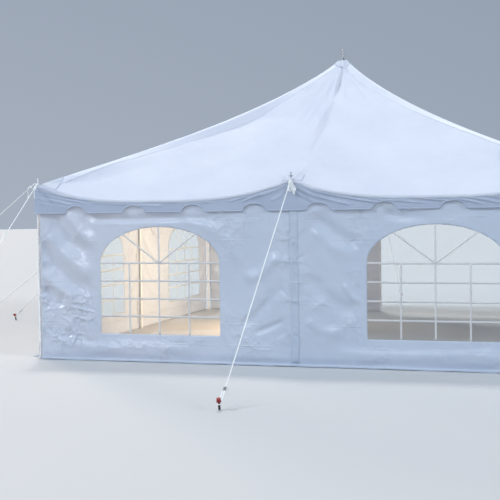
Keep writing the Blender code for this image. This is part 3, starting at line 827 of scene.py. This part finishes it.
# Crumpled spots of the front walls: x, z, half width, half height
CRUMPLES = {
    ("front", "left"): (
        (-2.95, 0.68, 0.12, 0.16), (-2.50, 0.58, 0.24, 0.18), (-2.62, 0.28, 0.30, 0.12),
        (-1.9, 0.2, 0.3, 0.06),
    ),
    ("front", "right"): ((0.74, 0.95, 0.10, 0.10), (2.75, 0.60, 0.22, 0.25)),
}


def wall_lines(side, end, hand):
    """Folds of one wall: those seen in the front walls, or drawn ones like them."""
    if (side, end) in WALL_FOLDS:
        return WALL_FOLDS[side, end]
    draw = np.random.default_rng(120 + 10 * SIDES.index(side) + hand)
    ends = ((2.98, -1, (0.06, 0.09), (0.008, 0.013)), (0.08, 1, (0.05, 0.08), (0.006, 0.010)))
    lines = []
    for start in (1.75, 1.45, 1.15, 0.85):
        drop = draw.uniform(0.42, 0.62)
        width = draw.uniform(0.6, 0.78)
        top = start + draw.uniform(-0.08, 0.08)
        falls = [(width * t, top - drop * (1 - (1 - t) ** 1.7)) for t in (0, 0.3, 0.6, 1.0)]
        for foot, way, wide, high in ends:
            line = tuple((hand * (foot + way * reach), z) for reach, z in falls)
            lines.append((line, draw.uniform(*wide), draw.choice((-1, 1)) * draw.uniform(*high)))
    level = draw.uniform(0.12, 0.18)
    lines.append((((hand * 0.3, level), (hand * 1.5, level - 0.03), (hand * 2.7, level)), 0.06, 0.007))
    return tuple(lines)


def wall_crumples(side, end, hand):
    """Crumpled spots of one wall, as (x, z, half width, half height)."""
    if (side, end) in CRUMPLES:
        return CRUMPLES[side, end]
    draw = np.random.default_rng(220 + 10 * SIDES.index(side) + hand)
    spots = []
    for x in (2.6, 0.45):
        place = hand * (x + draw.uniform(-0.1, 0.1))
        spots.append((place, draw.uniform(0.25, 0.9), draw.uniform(0.12, 0.26), draw.uniform(0.10, 0.22)))
    return tuple(spots)


TIE_HEIGHTS = (1.35, 1.11, 0.70, 0.36)


def window_centre(side, end, hand):
    return hand * WINDOW_CENTRE + WINDOW_ASIDE.get((side, end), 0.0)


def window_distance(x, z, centre):
    """Distance outside the window's outline, negative inside, roughly."""
    below = np.maximum(np.abs(x - centre) - WINDOW_HALF, WINDOW_SILL - z)
    above = (np.hypot((x - centre) / WINDOW_HALF, (z - WINDOW_SPRING) / WINDOW_RISE) - 1) * WINDOW_RISE
    return np.where(z < WINDOW_SPRING, below, above)


def wall_out(side, end, hand, x, z, crumpled=True):
    """How far the wall's cloth stands out from its plane."""
    seed = 300 + 20 * SIDES.index(side) + hand
    total = 0.007 * noise(x, z, 0.50, seed) + 0.0016 * noise(x, z, 0.17, seed + 1)
    for line, width, height in wall_lines(side, end, hand):
        total += FOLD_DEPTH * fold(x, z, line, width, height, 0.22)
    phase = (z - PACK_FOLD_START) / PACK_FOLD
    total += 0.003 * np.abs(np.sin(math.pi * phase)) * (0.6 + 0.4 * noise(x, z, 0.6, seed + 2))
    window = smoothstep(window_distance(x, z, window_centre(side, end, hand)) / 0.16)
    total = total * (0.2 + 0.8 * window) + LEAN * np.clip(1 - z / LEAN_HEIGHT, 0, 1) ** 2
    if crumpled:
        ridges = crumple(x * 0.8, z, 0.10, seed + 5) + 0.5 * crumple(x, z, 0.055, seed + 11)
        ridges += 0.25 * crumple(x, z * 0.8, 0.034, seed + 17)
        for cx, cz, rx, rz in wall_crumples(side, end, hand):
            near = np.exp(-((x - cx) / rx) ** 2 - ((z - cz) / rz) ** 2)
            total += 0.021 * near * window * (ridges - 0.50)
        for edge in (hand * 0.03, hand * WALL_EDGE):
            beside = np.abs(x - edge)
            total += 0.004 * noise(x * 0.3, z, 0.05, seed + 6) * np.exp(-beside / 0.07)
            for tie in TIE_HEIGHTS:
                reach = np.hypot(z - tie, beside)
                rays = noise(np.arctan2(z - tie, beside + 0.01), reach * 0.1, 0.30, seed + 8 + int(tie * 10))
                total += 0.005 * np.exp(-(reach / 0.04) ** 2) + 0.010 * rays * np.exp(-reach / 0.14)
    behind_valance = smoothstep((z - VALANCE_Z + 0.03) / 0.10)
    at_pole = np.exp(-((np.abs(x) - POLE_LINE) / 0.05) ** 2) + np.exp(-(x / 0.05) ** 2)
    total = total * (1 - 0.75 * behind_valance)
    total = np.where(total < 0, total * (1 - np.clip(at_pole, 0, 1)), total)
    return np.clip(total, -0.028, 0.036 - 0.031 * behind_valance)


def arch(centre, margin, steps):
    """Outline of a window, grown by the margin, as (x, z) points from the lower left."""
    half, rise = WINDOW_HALF + margin, WINDOW_RISE + margin
    low = WINDOW_SILL - margin
    tall = WINDOW_SPRING - low
    upward = np.linspace(0, 1, steps // 2, endpoint=False)
    sill = [(centre - half + 2 * half * t, low) for t in np.linspace(0, 1, steps, endpoint=False)]
    right = [(centre + half, low + tall * t) for t in upward]
    turns = np.linspace(0, math.pi, steps, endpoint=False)
    top = [(centre + half * math.cos(a), WINDOW_SPRING + rise * math.sin(a)) for a in turns]
    left = [(centre - half, WINDOW_SPRING - tall * t) for t in upward]
    return sill + right + top + left


def inside(points, outline):
    """Which points lie inside a closed outline."""
    x, y = points[:, 0], points[:, 1]
    result = np.zeros(len(points), bool)
    for (ax, ay), (bx, by) in zip(outline, outline[1:] + outline[:1]):
        if ay != by:
            crosses = (ay > y) != (by > y)
            result ^= crosses & (x < (bx - ax) * (y - ay) / (by - ay) + ax)
    return result


def even_places(low, high, pitch, first=(0.25, 0.5)):
    """Places of an even triangular grid between two corners. First is its start, as shares of the pitch."""
    places = []
    for number, v in enumerate(np.arange(low[1] + pitch * first[1], high[1], pitch * math.sqrt(0.75))):
        start = low[0] + pitch * (0.5 if number % 2 else first[0])
        places.extend((u, v) for u in np.arange(start, high[0], pitch))
    return np.array(places)


def triangulate(places, edges):
    """Triangles over flat places that keep the edges: places, triangles, and what each place comes from."""
    made = delaunay_2d_cdt([Vector(place) for place in places], edges, [], 0, 1e-6)
    return np.array([tuple(place) for place in made[0]]), np.array(made[2]), made[3]


def in_spots(places, spots):
    """Which places lie in one of the oval spots (x, z, half width, half height), grown by half."""
    found = np.zeros(len(places), bool)
    for x, z, wide, high in spots:
        found |= ((places[:, 0] - x) / wide) ** 2 + ((places[:, 1] - z) / high) ** 2 < 1.5 ** 2
    return found


def flat_sheet(outline, hole, pitch, fine_spots=()):
    """Triangles that fill an outline, twice as fine in the spots, as flat places and faces."""
    low, high = np.min(outline, axis=0), np.max(outline, axis=0)
    coarse, fine = even_places(low, high, pitch), even_places(low, high, pitch / 2)
    filling = np.concatenate([coarse[~in_spots(coarse, fine_spots)], fine[in_spots(fine, fine_spots)]])

    def wanted(places):
        keep = inside(places, outline)
        return keep & ~inside(places, hole) if hole else keep

    keep = wanted(filling)
    places, edges = [], []
    for loop in (outline, hole) if hole else (outline,):
        keep &= along_line(*filling.T, loop + loop[:1])[0] > 0.45 * pitch
        start = len(places)
        places.extend(loop)
        edges.extend((start + i, start + (i + 1) % len(loop)) for i in range(len(loop)))
    places, triangles, _ = triangulate([*places, *filling[keep]], edges)
    return places, triangles[wanted(places[triangles].mean(axis=1))]


def wall_span(hand):
    """Left and right end of a wall at this hand. The left one reaches behind the right one."""
    return (-WALL_EDGE, LAP) if hand < 0 else (-0.012, WALL_EDGE)


def wall_layer(hand, x):
    """How far out the wall's plane lies, so that two walls overlap without touching."""
    if hand < 0:
        return -0.0004 * np.ones_like(x)
    return LAP_LIFT * (1 - smoothstep((np.abs(x) - LAP) / 0.25))


def make_wall(side, end, hand, cloth):
    pitch = FRONT_PITCH if side == "front" else OTHER_PITCH
    start, stop = wall_span(hand)
    bottom = [(x, -FLAP) for x in np.arange(start, stop, pitch)]
    right = [(stop, z) for z in np.arange(-FLAP, eave_height(stop) - TOP_GAP, pitch)]
    top = [(x, float(eave_height(x)) - TOP_GAP) for x in np.arange(stop, start, -pitch)]
    left = [(start, z) for z in np.arange(eave_height(start) - TOP_GAP, -FLAP, -pitch)]
    fine_spots = wall_crumples(side, end, hand) if side == "front" else ()
    hole = arch(window_centre(side, end, hand), 0.0, 64)
    places, faces = flat_sheet(bottom + right + top + left, hole, pitch, fine_spots)
    x, v = places.T
    number = SIDES.index(side)
    seed = 500 + 10 * number + hand
    out = wall_out(side, end, hand, x, np.maximum(v, 0)) + wall_layer(hand, x)
    upright_part = smoothstep(v / FOOT_HEIGHT)
    flat_out = np.maximum(-v, 0.0)
    bend = FOOT_BEND * np.exp(-np.abs(v) / FOOT_BEND_HEIGHT) + LEAN * (v < 0)
    ripple = 0.004 * (1 + noise(x, v, 0.13, seed)) * np.clip(flat_out / FLAP, 0, 1)
    z = np.maximum(v, 0.0) + np.where(v < 0, GROUND_GAP + ripple, GROUND_GAP * (1 - upright_part))
    edge_wave = 1 + 0.10 * noise(x, 0 * x, 0.25, seed + 1)
    y = -(WALL_PLANE + out * upright_part + flat_out * edge_wave + bend * (v > -FLAP))
    name = f"wall_{side}_{end}"
    obj = sew(name + "_cloth", side, x, y, z, (x + UV_STEP * number, v), cloth, faces, [name])


def make_lap_bands(cloth):
    """Doubled strip along the seam of two walls at a middle pole."""
    z, x = grid(np.linspace(0.028, 1.72, 120), np.linspace(-0.004, LAP - 0.008, 8))
    for side, end in (("front", "right"), ("right", "back"), ("left", "front")):
        out = wall_out(side, end, 1, x, z) + wall_layer(1, x)
        bend = FOOT_BEND * np.exp(-z / FOOT_BEND_HEIGHT)
        y = -(WALL_PLANE + out * smoothstep(z / FOOT_HEIGHT) + bend + 0.0016)
        places = x + UV_STEP * SIDES.index(side), z
        sew("lap_band_" + side, side, x, y, z, places, cloth, thickness=BAND_T)


def strip(start, stop, steps, half_width, lift):
    """Flat band between two (x, z) places, as places, quads and lifts."""
    line = np.linspace(start, stop, steps)
    ways = directions(line)
    normal = np.stack([-ways[:, 1], ways[:, 0]], axis=1)
    rows = [line + normal * offset for offset in (-half_width, 0.0, half_width)]
    places = np.stack(rows, axis=1).reshape(-1, 2)
    return places, grid_faces(steps, len(rows)), np.full(len(places), lift)


def window_bars(centre):
    """The crossing bars and the two rays of a window."""
    half = BAR_WIDTH / 2
    top = WINDOW_SPRING + WINDOW_RISE
    bands = []
    for number in range(1, BAR_COLUMNS):
        x = centre + WINDOW_HALF * (2 * number / BAR_COLUMNS - 1)
        high = top if number * 2 == BAR_COLUMNS else WINDOW_SPRING
        bands.append(strip((x, WINDOW_SILL), (x, high), 40, half, BAR_LIFT))
    for number in range(1, BAR_ROWS + 1):
        z = WINDOW_SILL + (WINDOW_SPRING - WINDOW_SILL) * number / BAR_ROWS
        bands.append(strip((centre - WINDOW_HALF, z), (centre + WINDOW_HALF, z), 48, half, 0.0))
    for way in (-1, 1):
        ray_end = centre + way * RAY_REACH * WINDOW_HALF, WINDOW_SPRING + RAY_TOP * WINDOW_RISE
        bands.append(strip((centre, WINDOW_SPRING), ray_end, 20, half * 0.9, 2 * BAR_LIFT))
    return joined(bands)


def make_window(side, end, hand, film, cloth):
    """Clear film behind the wall's opening, with its crossing bars in front."""
    centre = window_centre(side, end, hand)
    seed = 700 + 10 * SIDES.index(side) + hand
    name = f"window_{side}_{end}"

    def film_out(x, z):
        sag = 0.004 * noise(x, z, 0.30, seed) * smoothstep(-window_distance(x, z, centre) / 0.2)
        return wall_out(side, end, hand, x, z, crumpled=False) + sag

    places, faces = flat_sheet(arch(centre, FILM_LAP, 48), None, FILM_PITCH)
    x, z = places.T
    y = -(WALL_PLANE - FILM_BACK + film_out(x, z))
    obj = sew(name + "_film", side, x, y, z, (x, z), film, faces, [name], FILM_T)

    places, quads, lifts = window_bars(centre)
    x, z = places.T
    y = -(WALL_PLANE + BAR_FRONT + film_out(x, z) + lifts)
    sew(name + "_bars", side, x, y, z, (x, z), cloth, quads, thickness=BAR_T)


# Poles, ropes and stakes

POLE_CAP_R = 0.0185     # plastic foot of a side pole
PIN_R = 0.0060
AXIS_R = 0.0001         # turned profiles start and end this close to their axis
NECK_R = 0.0080         # a stake's shaft where the rope lies round it
ROPE_GAP = 0.0003       # a rope is clear of what it lies on by this much
CORD_R = 0.0024         # lashings
ROPE_R = 0.00475        # guy ropes
STAKE_LEAN = math.radians(14)
STAKE_LINE = HALF_SIDE + 2.507      # where the stakes meet the ground
ROPE_RETURN = 0.17      # the rope's doubled strand ends at the slider, this far from the stake
ROPE_PAIR = 0.0065      # half the distance of the two strands
KNOT_AT = 0.048         # a rope's winding starts this far past the eave
STAKE_SHAFT = (
    (AXIS_R, 0.003), (0.0098, 0.003), (0.0102, 0.006), (0.0102, 0.044), (NECK_R, 0.048), (NECK_R, 0.062),
    (0.0102, 0.066), (0.0102, 0.076), (0.0079, 0.080),
)
STAKE_HEAD = (
    (0.0079, 0.070), (0.0170, 0.071), (0.0210, 0.074), (0.0220, 0.079), (0.0190, 0.084), (0.0145, 0.088),
    (0.0140, 0.093), (0.0180, 0.097), (0.0195, 0.102), (0.0170, 0.1075), (0.0110, 0.110), (AXIS_R, 0.111),
)
SIDE_GUY_TURNS = (("front", math.radians(8)), ("back", math.radians(16)))


def pole_places():
    """Name, plan place and outward ways of the guys of each side pole."""
    ways = {side: np.array(turn_to(side, 0.0, -1.0)) for side in SIDES}
    places = [(name, ways[name] * POLE_LINE, ((name, ways[name]),)) for name in ("front", "back")]
    for name in ("right", "left"):
        guys = tuple(
            (f"{name}_{end}", ways[name] * math.cos(turn) + ways[end] * math.sin(turn))
            for end, turn in SIDE_GUY_TURNS
        )
        places.append((name, ways[name] * POLE_LINE, guys))
    for first in ("front", "back"):
        for second in ("left", "right"):
            name = f"{first}_{second}"
            guys = tuple((f"{name}_{end}", ways[end]) for end in (first, second))
            places.append((name, (ways[first] + ways[second]) * POLE_LINE, guys))
    return places


def turned(name, profile, sides, place, material, nodes=()):
    """A turned piece on the pole line at this plan place."""
    mesh = mesh_from(name, *lathe(profile, sides, (*place, 0)))
    mesh.set_sharp_from_angle(angle=SHARP_ANGLE)
    show(name, mesh, material, nodes)


def make_pin(name, place, radius, low, high, steel):
    profile = [(AXIS_R, low), (radius, low), (radius, high - radius), (radius * 0.6, high - radius * 0.15)]
    turned(name + "_pin", [*profile, (AXIS_R, high)], 16, place, steel)


def make_pole(name, place, material, pin_material):
    radius = 0.016
    top = EAVE_Z - 0.0045
    profile = [
        (AXIS_R, 0.0), (0.0175, 0.0), (POLE_CAP_R, 0.003), (POLE_CAP_R, 0.036), (0.0165, 0.040),
        (radius, 0.041), (radius, 1.00), (radius - 0.0012, 1.004), (radius - 0.0012, 1.008),
        (radius, 1.010), (radius, top - 0.002), (radius - 0.002, top), (AXIS_R, top),
    ]
    turned(name + "_tube", profile, 24, place, material, [name])
    make_pin(name, place, PIN_R, EAVE_Z - 0.005, PIN_TOP, pin_material)


def make_centre_pole(material, steel):
    radius = 0.025
    profile = [
        (AXIS_R, 0.0), (0.058, 0.0), (0.060, 0.002), (0.060, 0.006), (0.058, 0.008),
        (0.029, 0.008), (0.029, 0.060), (radius, 0.064), (radius, 1.70), (radius + 0.0015, 1.702),
        (radius + 0.0015, 1.96), (radius, 1.962), (radius, PEAK_Z - 0.012), (radius - 0.003, PEAK_Z - 0.0075),
        (AXIS_R, PEAK_Z - 0.0075),
    ]
    turned("centre_pole_tube", profile, 32, (0, 0), material, ["centre_pole"])
    make_pin("centre_pole", (0, 0), 0.0080, PEAK_Z - 0.008, PEAK_PIN_TOP, steel)
    rest = PEAK_Z + 0.0065
    flange = [
        (0.0084, rest), (0.036, rest), (0.037, rest + 0.0015), (0.035, rest + 0.004), (0.016, rest + 0.011),
        (0.0135, rest + 0.016), (0.0135, rest + 0.030), (0.0125, rest + 0.032), (0.0084, rest + 0.032),
    ]
    turned("peak_flange", flange, 32, (0, 0), steel)


def make_clips(steel):
    """Spring clips through the middle pins, above the rope."""
    bow = (
        (-0.024, 0.006), (-0.012, 0.010), (0.0, 0.0115), (0.014, 0.010), (0.024, 0.002), (0.016, -0.008),
        (0.0, -0.010), (-0.014, -0.009), (-0.026, -0.003),
    )
    for name in SIDES:
        middle = (*turn_to(name, 0.0, -POLE_LINE), EAVE_Z + 0.036)
        path = curve_through([(*turn_to(name, a, b), 0.003 * b / 0.01) for a, b in bow], 5) + middle
        show_solid("clip_" + name, [tube(path, 0.0026, 8)[:2]], steel)


def ring_shape(radius, thick, centre, flat=1.0):
    """Points and faces of a ring that lies level."""
    sides, round_steps = 20, 8
    a, b = grid(np.arange(sides) / sides, np.arange(round_steps) / round_steps)
    a, b = 2 * math.pi * a.ravel(), 2 * math.pi * b.ravel()
    reach = radius + thick * np.cos(b)
    points = np.stack([reach * np.cos(a), reach * np.sin(a), thick * flat * np.sin(b)], axis=1)
    faces = grid_faces(sides, round_steps, closed=True, wrapped=True)
    return points + np.asarray(centre), faces[:, [0, 3, 2, 1]]


def make_grommets(material):
    """Pressed steel rings in the hem round every pin."""
    for name, place, _ in pole_places():
        parts = [
            ring_shape(0.0125, 0.0030, (*place, EAVE_Z + 0.0022), flat=0.5),
            ring_shape(0.0085, 0.0018, (*place, EAVE_Z + 0.0032)),
        ]
        name = "grommet_" + name
        show(name, mesh_from(name, *joined(parts)), material)


def guy_frame(place, way):
    """Ways out and across from a pole's foot, the foot of its stake, and the way up along the stake."""
    outward, across = np.array([way[0], way[1], 0.0]), np.array([-way[1], way[0], 0.0])
    stake_foot = np.array([*place, 0.0]) + outward * (STAKE_LINE - POLE_LINE)
    return outward, across, stake_foot, outward * math.sin(STAKE_LEAN) + UP * math.cos(STAKE_LEAN)


def guy_route(place, way, level):
    """Route of a guy rope: tail, loop on the pin, over the hem, loop on the stake, back to the slider."""
    outward, across, stake_foot, axis = guy_frame(place, way)
    half_turn = np.linspace(0, math.pi, 9)
    seat = np.array([*place, EAVE_Z + ROPE_R + ROPE_GAP + level * (2 * ROPE_R + ROPE_GAP)])
    reach = PIN_R + ROPE_R + ROPE_GAP
    pin_loop = [seat + reach * (-across * math.cos(a) - outward * math.sin(a)) for a in half_turn]
    over_edge = pin_loop[-1] + outward * (HALF_SIDE - POLE_LINE + 2 * ROPE_R)
    tail = pin_loop[0] + outward * 0.024
    along = outward * math.cos(STAKE_LEAN) - UP * math.sin(STAKE_LEAN)
    hold = stake_foot + axis * 0.055
    reach = NECK_R + ROPE_R + ROPE_GAP
    stake_loop = [hold + reach * (across * math.cos(a) + along * math.sin(a)) for a in half_turn]
    pull = (over_edge - stake_loop[0]) / np.linalg.norm(over_edge - stake_loop[0])
    slider = stake_loop[0] + pull * ROPE_RETURN - across * 2 * ROPE_PAIR
    return tail, pin_loop, over_edge, stake_loop, slider, pull, across


def straight(a, b):
    """Even steps of about 50 mm from a up to b, without b."""
    count = max(2, int(np.linalg.norm(b - a) / 0.05))
    return [a + (b - a) * t for t in np.linspace(0, 1, count, endpoint=False)]


def make_rope(guy, place, way, level, rope, plastic):
    """A guy rope with its winding, its loose ends and its slider."""
    tail, pin_loop, over_edge, stake_loop, slider, pull, across = guy_route(place, way, level)
    edge_bend = [pin_loop[-1] * 0.25 + over_edge * 0.75, over_edge + pull * -0.004]
    main = [tail, *pin_loop, *edge_bend, *straight(over_edge - pull * 0.02, stake_loop[0])]
    main += [*stake_loop, *straight(stake_loop[-1], slider)[1:], slider, slider + pull * 0.02]
    parts = [tube(curve_through(main, 2), ROPE_R, 10)]
    coil_start = over_edge - pull * KNOT_AT
    other = np.cross(pull, across)
    coil = [
        coil_start - pull * 0.0095 * t / (2 * math.pi)
        + (across * math.cos(t) + other * math.sin(t)) * (2.0 + 0.5 * math.sin(t / 10)) * ROPE_R
        for t in np.linspace(0, 2 * math.pi * 5, 80)
    ]
    parts.append(tube(coil, ROPE_R * 0.95, 8))

    def hanging(start, places, steps):
        """A loose end from its start, through places along the pull, across it and up."""
        path = [start + pull * a + across * b + UP * c for a, b, c in places]
        parts.append(tube(curve_through(path, steps), ROPE_R * 0.9, 8))

    if place[0] and place[1]:
        hanging(coil[-1], ((0, 0, 0), (-0.010, 0, -0.020), (0, -0.006, -0.060), (0, 0.004, -0.105)), 6)
    loose = ((0, 0, 0), (0.022, 0.004, 0), (0.028, 0.024, -0.008), (0.010, 0.036, -0.035), (0, 0.034, -0.075))
    hanging(slider + pull * 0.012, loose, 8)
    name = "guy_rope_" + guy
    show_solid(name + "_braid", parts, rope, [name])

    block = bmesh.new()
    bmesh.ops.create_cube(block, size=1)
    bmesh.ops.scale(block, vec=(0.028, 0.048, 0.009), verts=block.verts)
    bmesh.ops.bevel(block, geom=list(block.edges), offset=0.0035, segments=3, affect="EDGES")
    turn = Matrix((across, pull, np.cross(across, pull))).transposed().to_4x4()
    middle = Matrix.Translation(slider + across * ROPE_PAIR)
    bmesh.ops.transform(block, matrix=middle @ turn, verts=block.verts)
    mesh = bpy.data.meshes.new("slider_" + guy)
    block.to_mesh(mesh)
    block.free()
    mesh.shade_smooth()
    show("slider_" + guy, mesh, plastic)


def make_stake(guy, place, way, steel, plastic):
    """A stake's shaft above ground, and its head with the hook."""
    _, across, foot, axis = guy_frame(place, way)
    turn = np.stack([across, np.cross(axis, across), axis], axis=1)
    hook = curve_through([(0, -0.012, 0.092), (0, -0.024, 0.094), (0, -0.033, 0.101), (0, -0.034, 0.112)], 6)
    shaft = [lathe(STAKE_SHAFT, 20)]
    head = [lathe(STAKE_HEAD, 20), tube(hook, 0.0065, 10)[:2]]
    name = "stake_" + guy
    for part, shapes, material, nodes in (("shaft", shaft, steel, [name]), ("head", head, plastic, [])):
        placed = [(points @ turn.T + foot, faces) for points, faces in shapes]
        show_solid(f"{name}_{part}", placed, material, nodes)


def tear_loop(centre, eye, radius, height):
    """A cord's way from an eyelet round a pole and back, seen from above."""
    toward = math.atan2(eye[1] - centre[1], eye[0] - centre[0])
    turns = np.linspace(toward + math.radians(75), toward + math.radians(285), 15)
    start = (*eye, height)
    points = [(centre[0] + radius * math.cos(t), centre[1] + radius * math.sin(t), height) for t in turns]
    return curve_through([start, *points, start], 3)


def make_lashings(rope):
    """Short cords that tie the walls' edges to the poles, with their loose ends."""
    reach = POLE_CAP_R + CORD_R + 0.0006
    for side, end, hand in WALLS:
        eye = (hand * (WALL_EDGE - 0.016), -(WALL_PLANE + 0.005))
        parts = []
        for height in TIE_HEIGHTS:
            loop = tear_loop((hand * POLE_LINE, -POLE_LINE), eye, reach, height)
            loop[:, 2] += 0.006 * np.sin(np.linspace(0, 2 * math.pi, len(loop)))
            parts.append(tube(loop, CORD_R, 6))
            drops = ((0, 0, 0), (0.004, -0.006, -0.012), (hand * 0.010, -0.006, -0.05),
                     (hand * 0.006, -0.007, -0.085))
            loose = np.array([eye[0], eye[1] - 0.004, height]) + drops
            parts.append(tube(curve_through(loose, 5), CORD_R * 0.9, 6))
        turned_parts = []
        for points, faces, places in parts:
            x, y, z = points.T
            turned_parts.append((np.stack([*turn_to(side, x, y), z], axis=1), faces, places))
        show_solid(f"lashing_{side}_{end}", turned_parts, rope)


# Stage

SOFT_SIDE = (0.45, -0.40, 0.80)     # the studio is brightest this way


def add_lamp(name, kind, place, target, energy, colour, **settings):
    data = bpy.data.lights.new(name, kind)
    data.energy = energy
    data.color = colour
    for key, value in settings.items():
        setattr(data, key, value)
    lamp = bpy.data.objects.new(name, data)
    lamp.visible_camera = False
    lamp.location = place
    lamp.rotation_mode = "QUATERNION"
    lamp.rotation_quaternion = (Vector(target) - Vector(place)).to_track_quat("-Z", "Y")
    bpy.context.scene.collection.objects.link(lamp)


def make_stage():
    """A pale floor and soft light, with a warm lamp inside for light that comes through the walls."""
    rim = [(150 * math.cos(a), 150 * math.sin(a), 0) for a in np.linspace(0, 2 * math.pi, 72, endpoint=False)]
    mesh = mesh_from("floor", rim, [tuple(range(len(rim)))])
    floor = bpy.data.objects.new("floor", mesh)
    floor.location = (0, 0, -0.0005)
    material, tree, shader = new_material("pale_floor")
    set_inputs(tree, shader, {"Base Color": (0.52, 0.53, 0.53, 1), "Roughness": 0.9})
    mesh.materials.append(material)
    bpy.context.scene.collection.objects.link(floor)

    world = bpy.data.worlds.new("studio")
    world.use_nodes = True
    tree = world.node_tree
    way = add(tree, "TexCoord").outputs["Generated"]
    toward = add(tree, "VectorMath", {0: way, 1: SOFT_SIDE}, operation="DOT_PRODUCT").outputs["Value"]
    sky = ramp(tree, math_node(tree, "MULTIPLY_ADD", toward, 0.5, 0.5), [
        (0.20, (0.46, 0.52, 0.62)), (0.38, (0.36, 0.42, 0.52)), (0.55, (0.10, 0.13, 0.19)),
        (0.72, (0.14, 0.18, 0.26)), (0.92, (0.50, 0.60, 0.78)),
    ])
    set_inputs(tree, tree.nodes["Background"], {"Color": sky, "Strength": 0.85})
    bpy.context.scene.world = world

    for name, place, energy, colour, angle in (
        ("key", (-3, 7, 14), 1.25, (1.0, 0.95, 0.88), 10),
        ("low", (-9, 9, 2.6), 1.7, (1.0, 0.80, 0.60), 14),
        ("side", (14, -4, 6), 1.35, (0.90, 0.95, 1.0), 9),
        ("high", (-9, -4.5, 7), 2.0, (0.85, 0.92, 1.0), 7),
        ("front", (-4, -12, 5.5), 0.5, (0.95, 0.97, 1.0), 12),
    ):
        add_lamp(name, "SUN", place, (0, 0, 0), energy, colour, angle=math.radians(angle))
    warm, spread = (1.0, 0.66, 0.38), math.radians(165)
    add_lamp("inner", "AREA", (-0.2, 0.2, 0.8), (-3.05, 0.6, 1.3), 125, warm, size=1.2, spread=spread)


def make_camera():
    """Camera at the photograph's place, turned by its yaw, pitch and roll."""
    data = bpy.data.cameras.new("camera")
    data.sensor_width = 36.0
    data.lens = 71.56
    camera = bpy.data.objects.new("camera", data)
    place = Matrix.Translation((2.587, -13.3733, 1.6112))
    yaw, pitch, roll = 0.2868, -0.0341, 0.0129
    turn = Matrix.Rotation(yaw, 4, "Z") @ Matrix.Rotation(pitch, 4, "X") @ Matrix.Rotation(roll, 4, "Y")
    upright = Matrix.Rotation(math.pi / 2, 4, "X")
    camera.matrix_world = place @ turn @ upright
    bpy.context.scene.collection.objects.link(camera)
    bpy.context.scene.camera = camera


def build():
    # Canopy cloth tones: white cloth tinted blue-grey, painted shade.
    canopy_cloth = cloth_material(
        "canopy_cloth", (0.73, 0.77, 0.84), (0.67, 0.715, 0.80), 0.25, packed=0.6, crumpled=0.6,
        roughness=0.62, specular=0.25)
    # Warm tint for the light that comes through the walls: painted sunlight.
    warm = (1.0, 0.80, 0.65)
    # Wall cloth tones: white cloth made strongly blue, painted shade.
    wall_cloth = cloth_material(
        "wall_cloth", (0.72, 0.835, 0.98), (0.67, 0.785, 0.94), 0.42, crumpled=1.6, roughness=0.24,
        specular=0.5, coat=0.35, painted_sun_tint=warm)
    # Lap cloth: a little darker than the wall cloth, painted shade of the doubled layer.
    lap_cloth = cloth_material(
        "lap_cloth", (0.70, 0.805, 0.94), (0.65, 0.755, 0.90), 0.40, roughness=0.26, coat=0.3, painted_sun_tint=warm)
    # The valance is the canopy's cloth, made darker and bluer here: painted shade.
    valance_cloth_painted_shade = cloth_material(
        "valance_cloth_painted_shade", (0.54, 0.61, 0.73), (0.50, 0.57, 0.70), 0.30, packed=0.3, crumpled=0.6,
        roughness=0.30, coat=0.2)
    # Hip webbing made greyer than white: painted shade of the hips' steep faces.
    trim = cloth_material(
        "trim_cloth", (0.76, 0.79, 0.85), (0.71, 0.75, 0.83), 0.12, packed=0, crumpled=0.2, roughness=0.55,
        specular=0.3)
    strap_cloth = cloth_material(
        "strap_cloth", (0.93, 0.95, 0.96), (0.88, 0.90, 0.92), 0.25, packed=0, crumpled=0.1)
    bar_tape = cloth_material(
        "bar_tape", (0.82, 0.82, 0.82), (0.76, 0.76, 0.76), 0.32, packed=0, crumpled=0.1)
    film = film_material()
    rope = rope_material()
    pole_paint = hard_material("pole_paint", (0.84, 0.85, 0.86), (0.70, 0.72, 0.74), 0.30)
    steel = hard_material(
        "bare_steel", (0.26, 0.28, 0.32), (0.17, 0.18, 0.21), 0.42, metallic=0.5, dent=0.0001)
    stake_steel = hard_material("stake_shaft", (0.035, 0.035, 0.04), (0.07, 0.05, 0.035), 0.5, metallic=0.5)
    stake_cap = hard_material("stake_cap", (0.36, 0.018, 0.014), (0.15, 0.012, 0.012), 0.42)
    slider_plastic = hard_material("slider_plastic", (0.07, 0.07, 0.08), (0.12, 0.12, 0.12), 0.5)

    make_canopy(canopy_cloth)
    make_hip_tapes(trim)
    make_patches(canopy_cloth)
    make_straps(strap_cloth)
    make_valance(valance_cloth_painted_shade)
    for side, end, hand in WALLS:
        make_wall(side, end, hand, wall_cloth)
        make_window(side, end, hand, film, bar_tape)
    make_lap_bands(lap_cloth)
    make_centre_pole(pole_paint, steel)
    make_clips(steel)
    for name, place, guys in pole_places():
        make_pole("side_pole_" + name, place, pole_paint, steel if name in SIDES else pole_paint)
        for level, (guy, way) in enumerate(guys):
            make_rope(guy, place, way, level, rope, slider_plastic)
            make_stake(guy, place, way, stake_steel, stake_cap)
    make_grommets(steel)
    make_lashings(rope)
    make_stage()
    make_camera()
    bpy.context.scene.view_settings.view_transform = "Standard"


build()
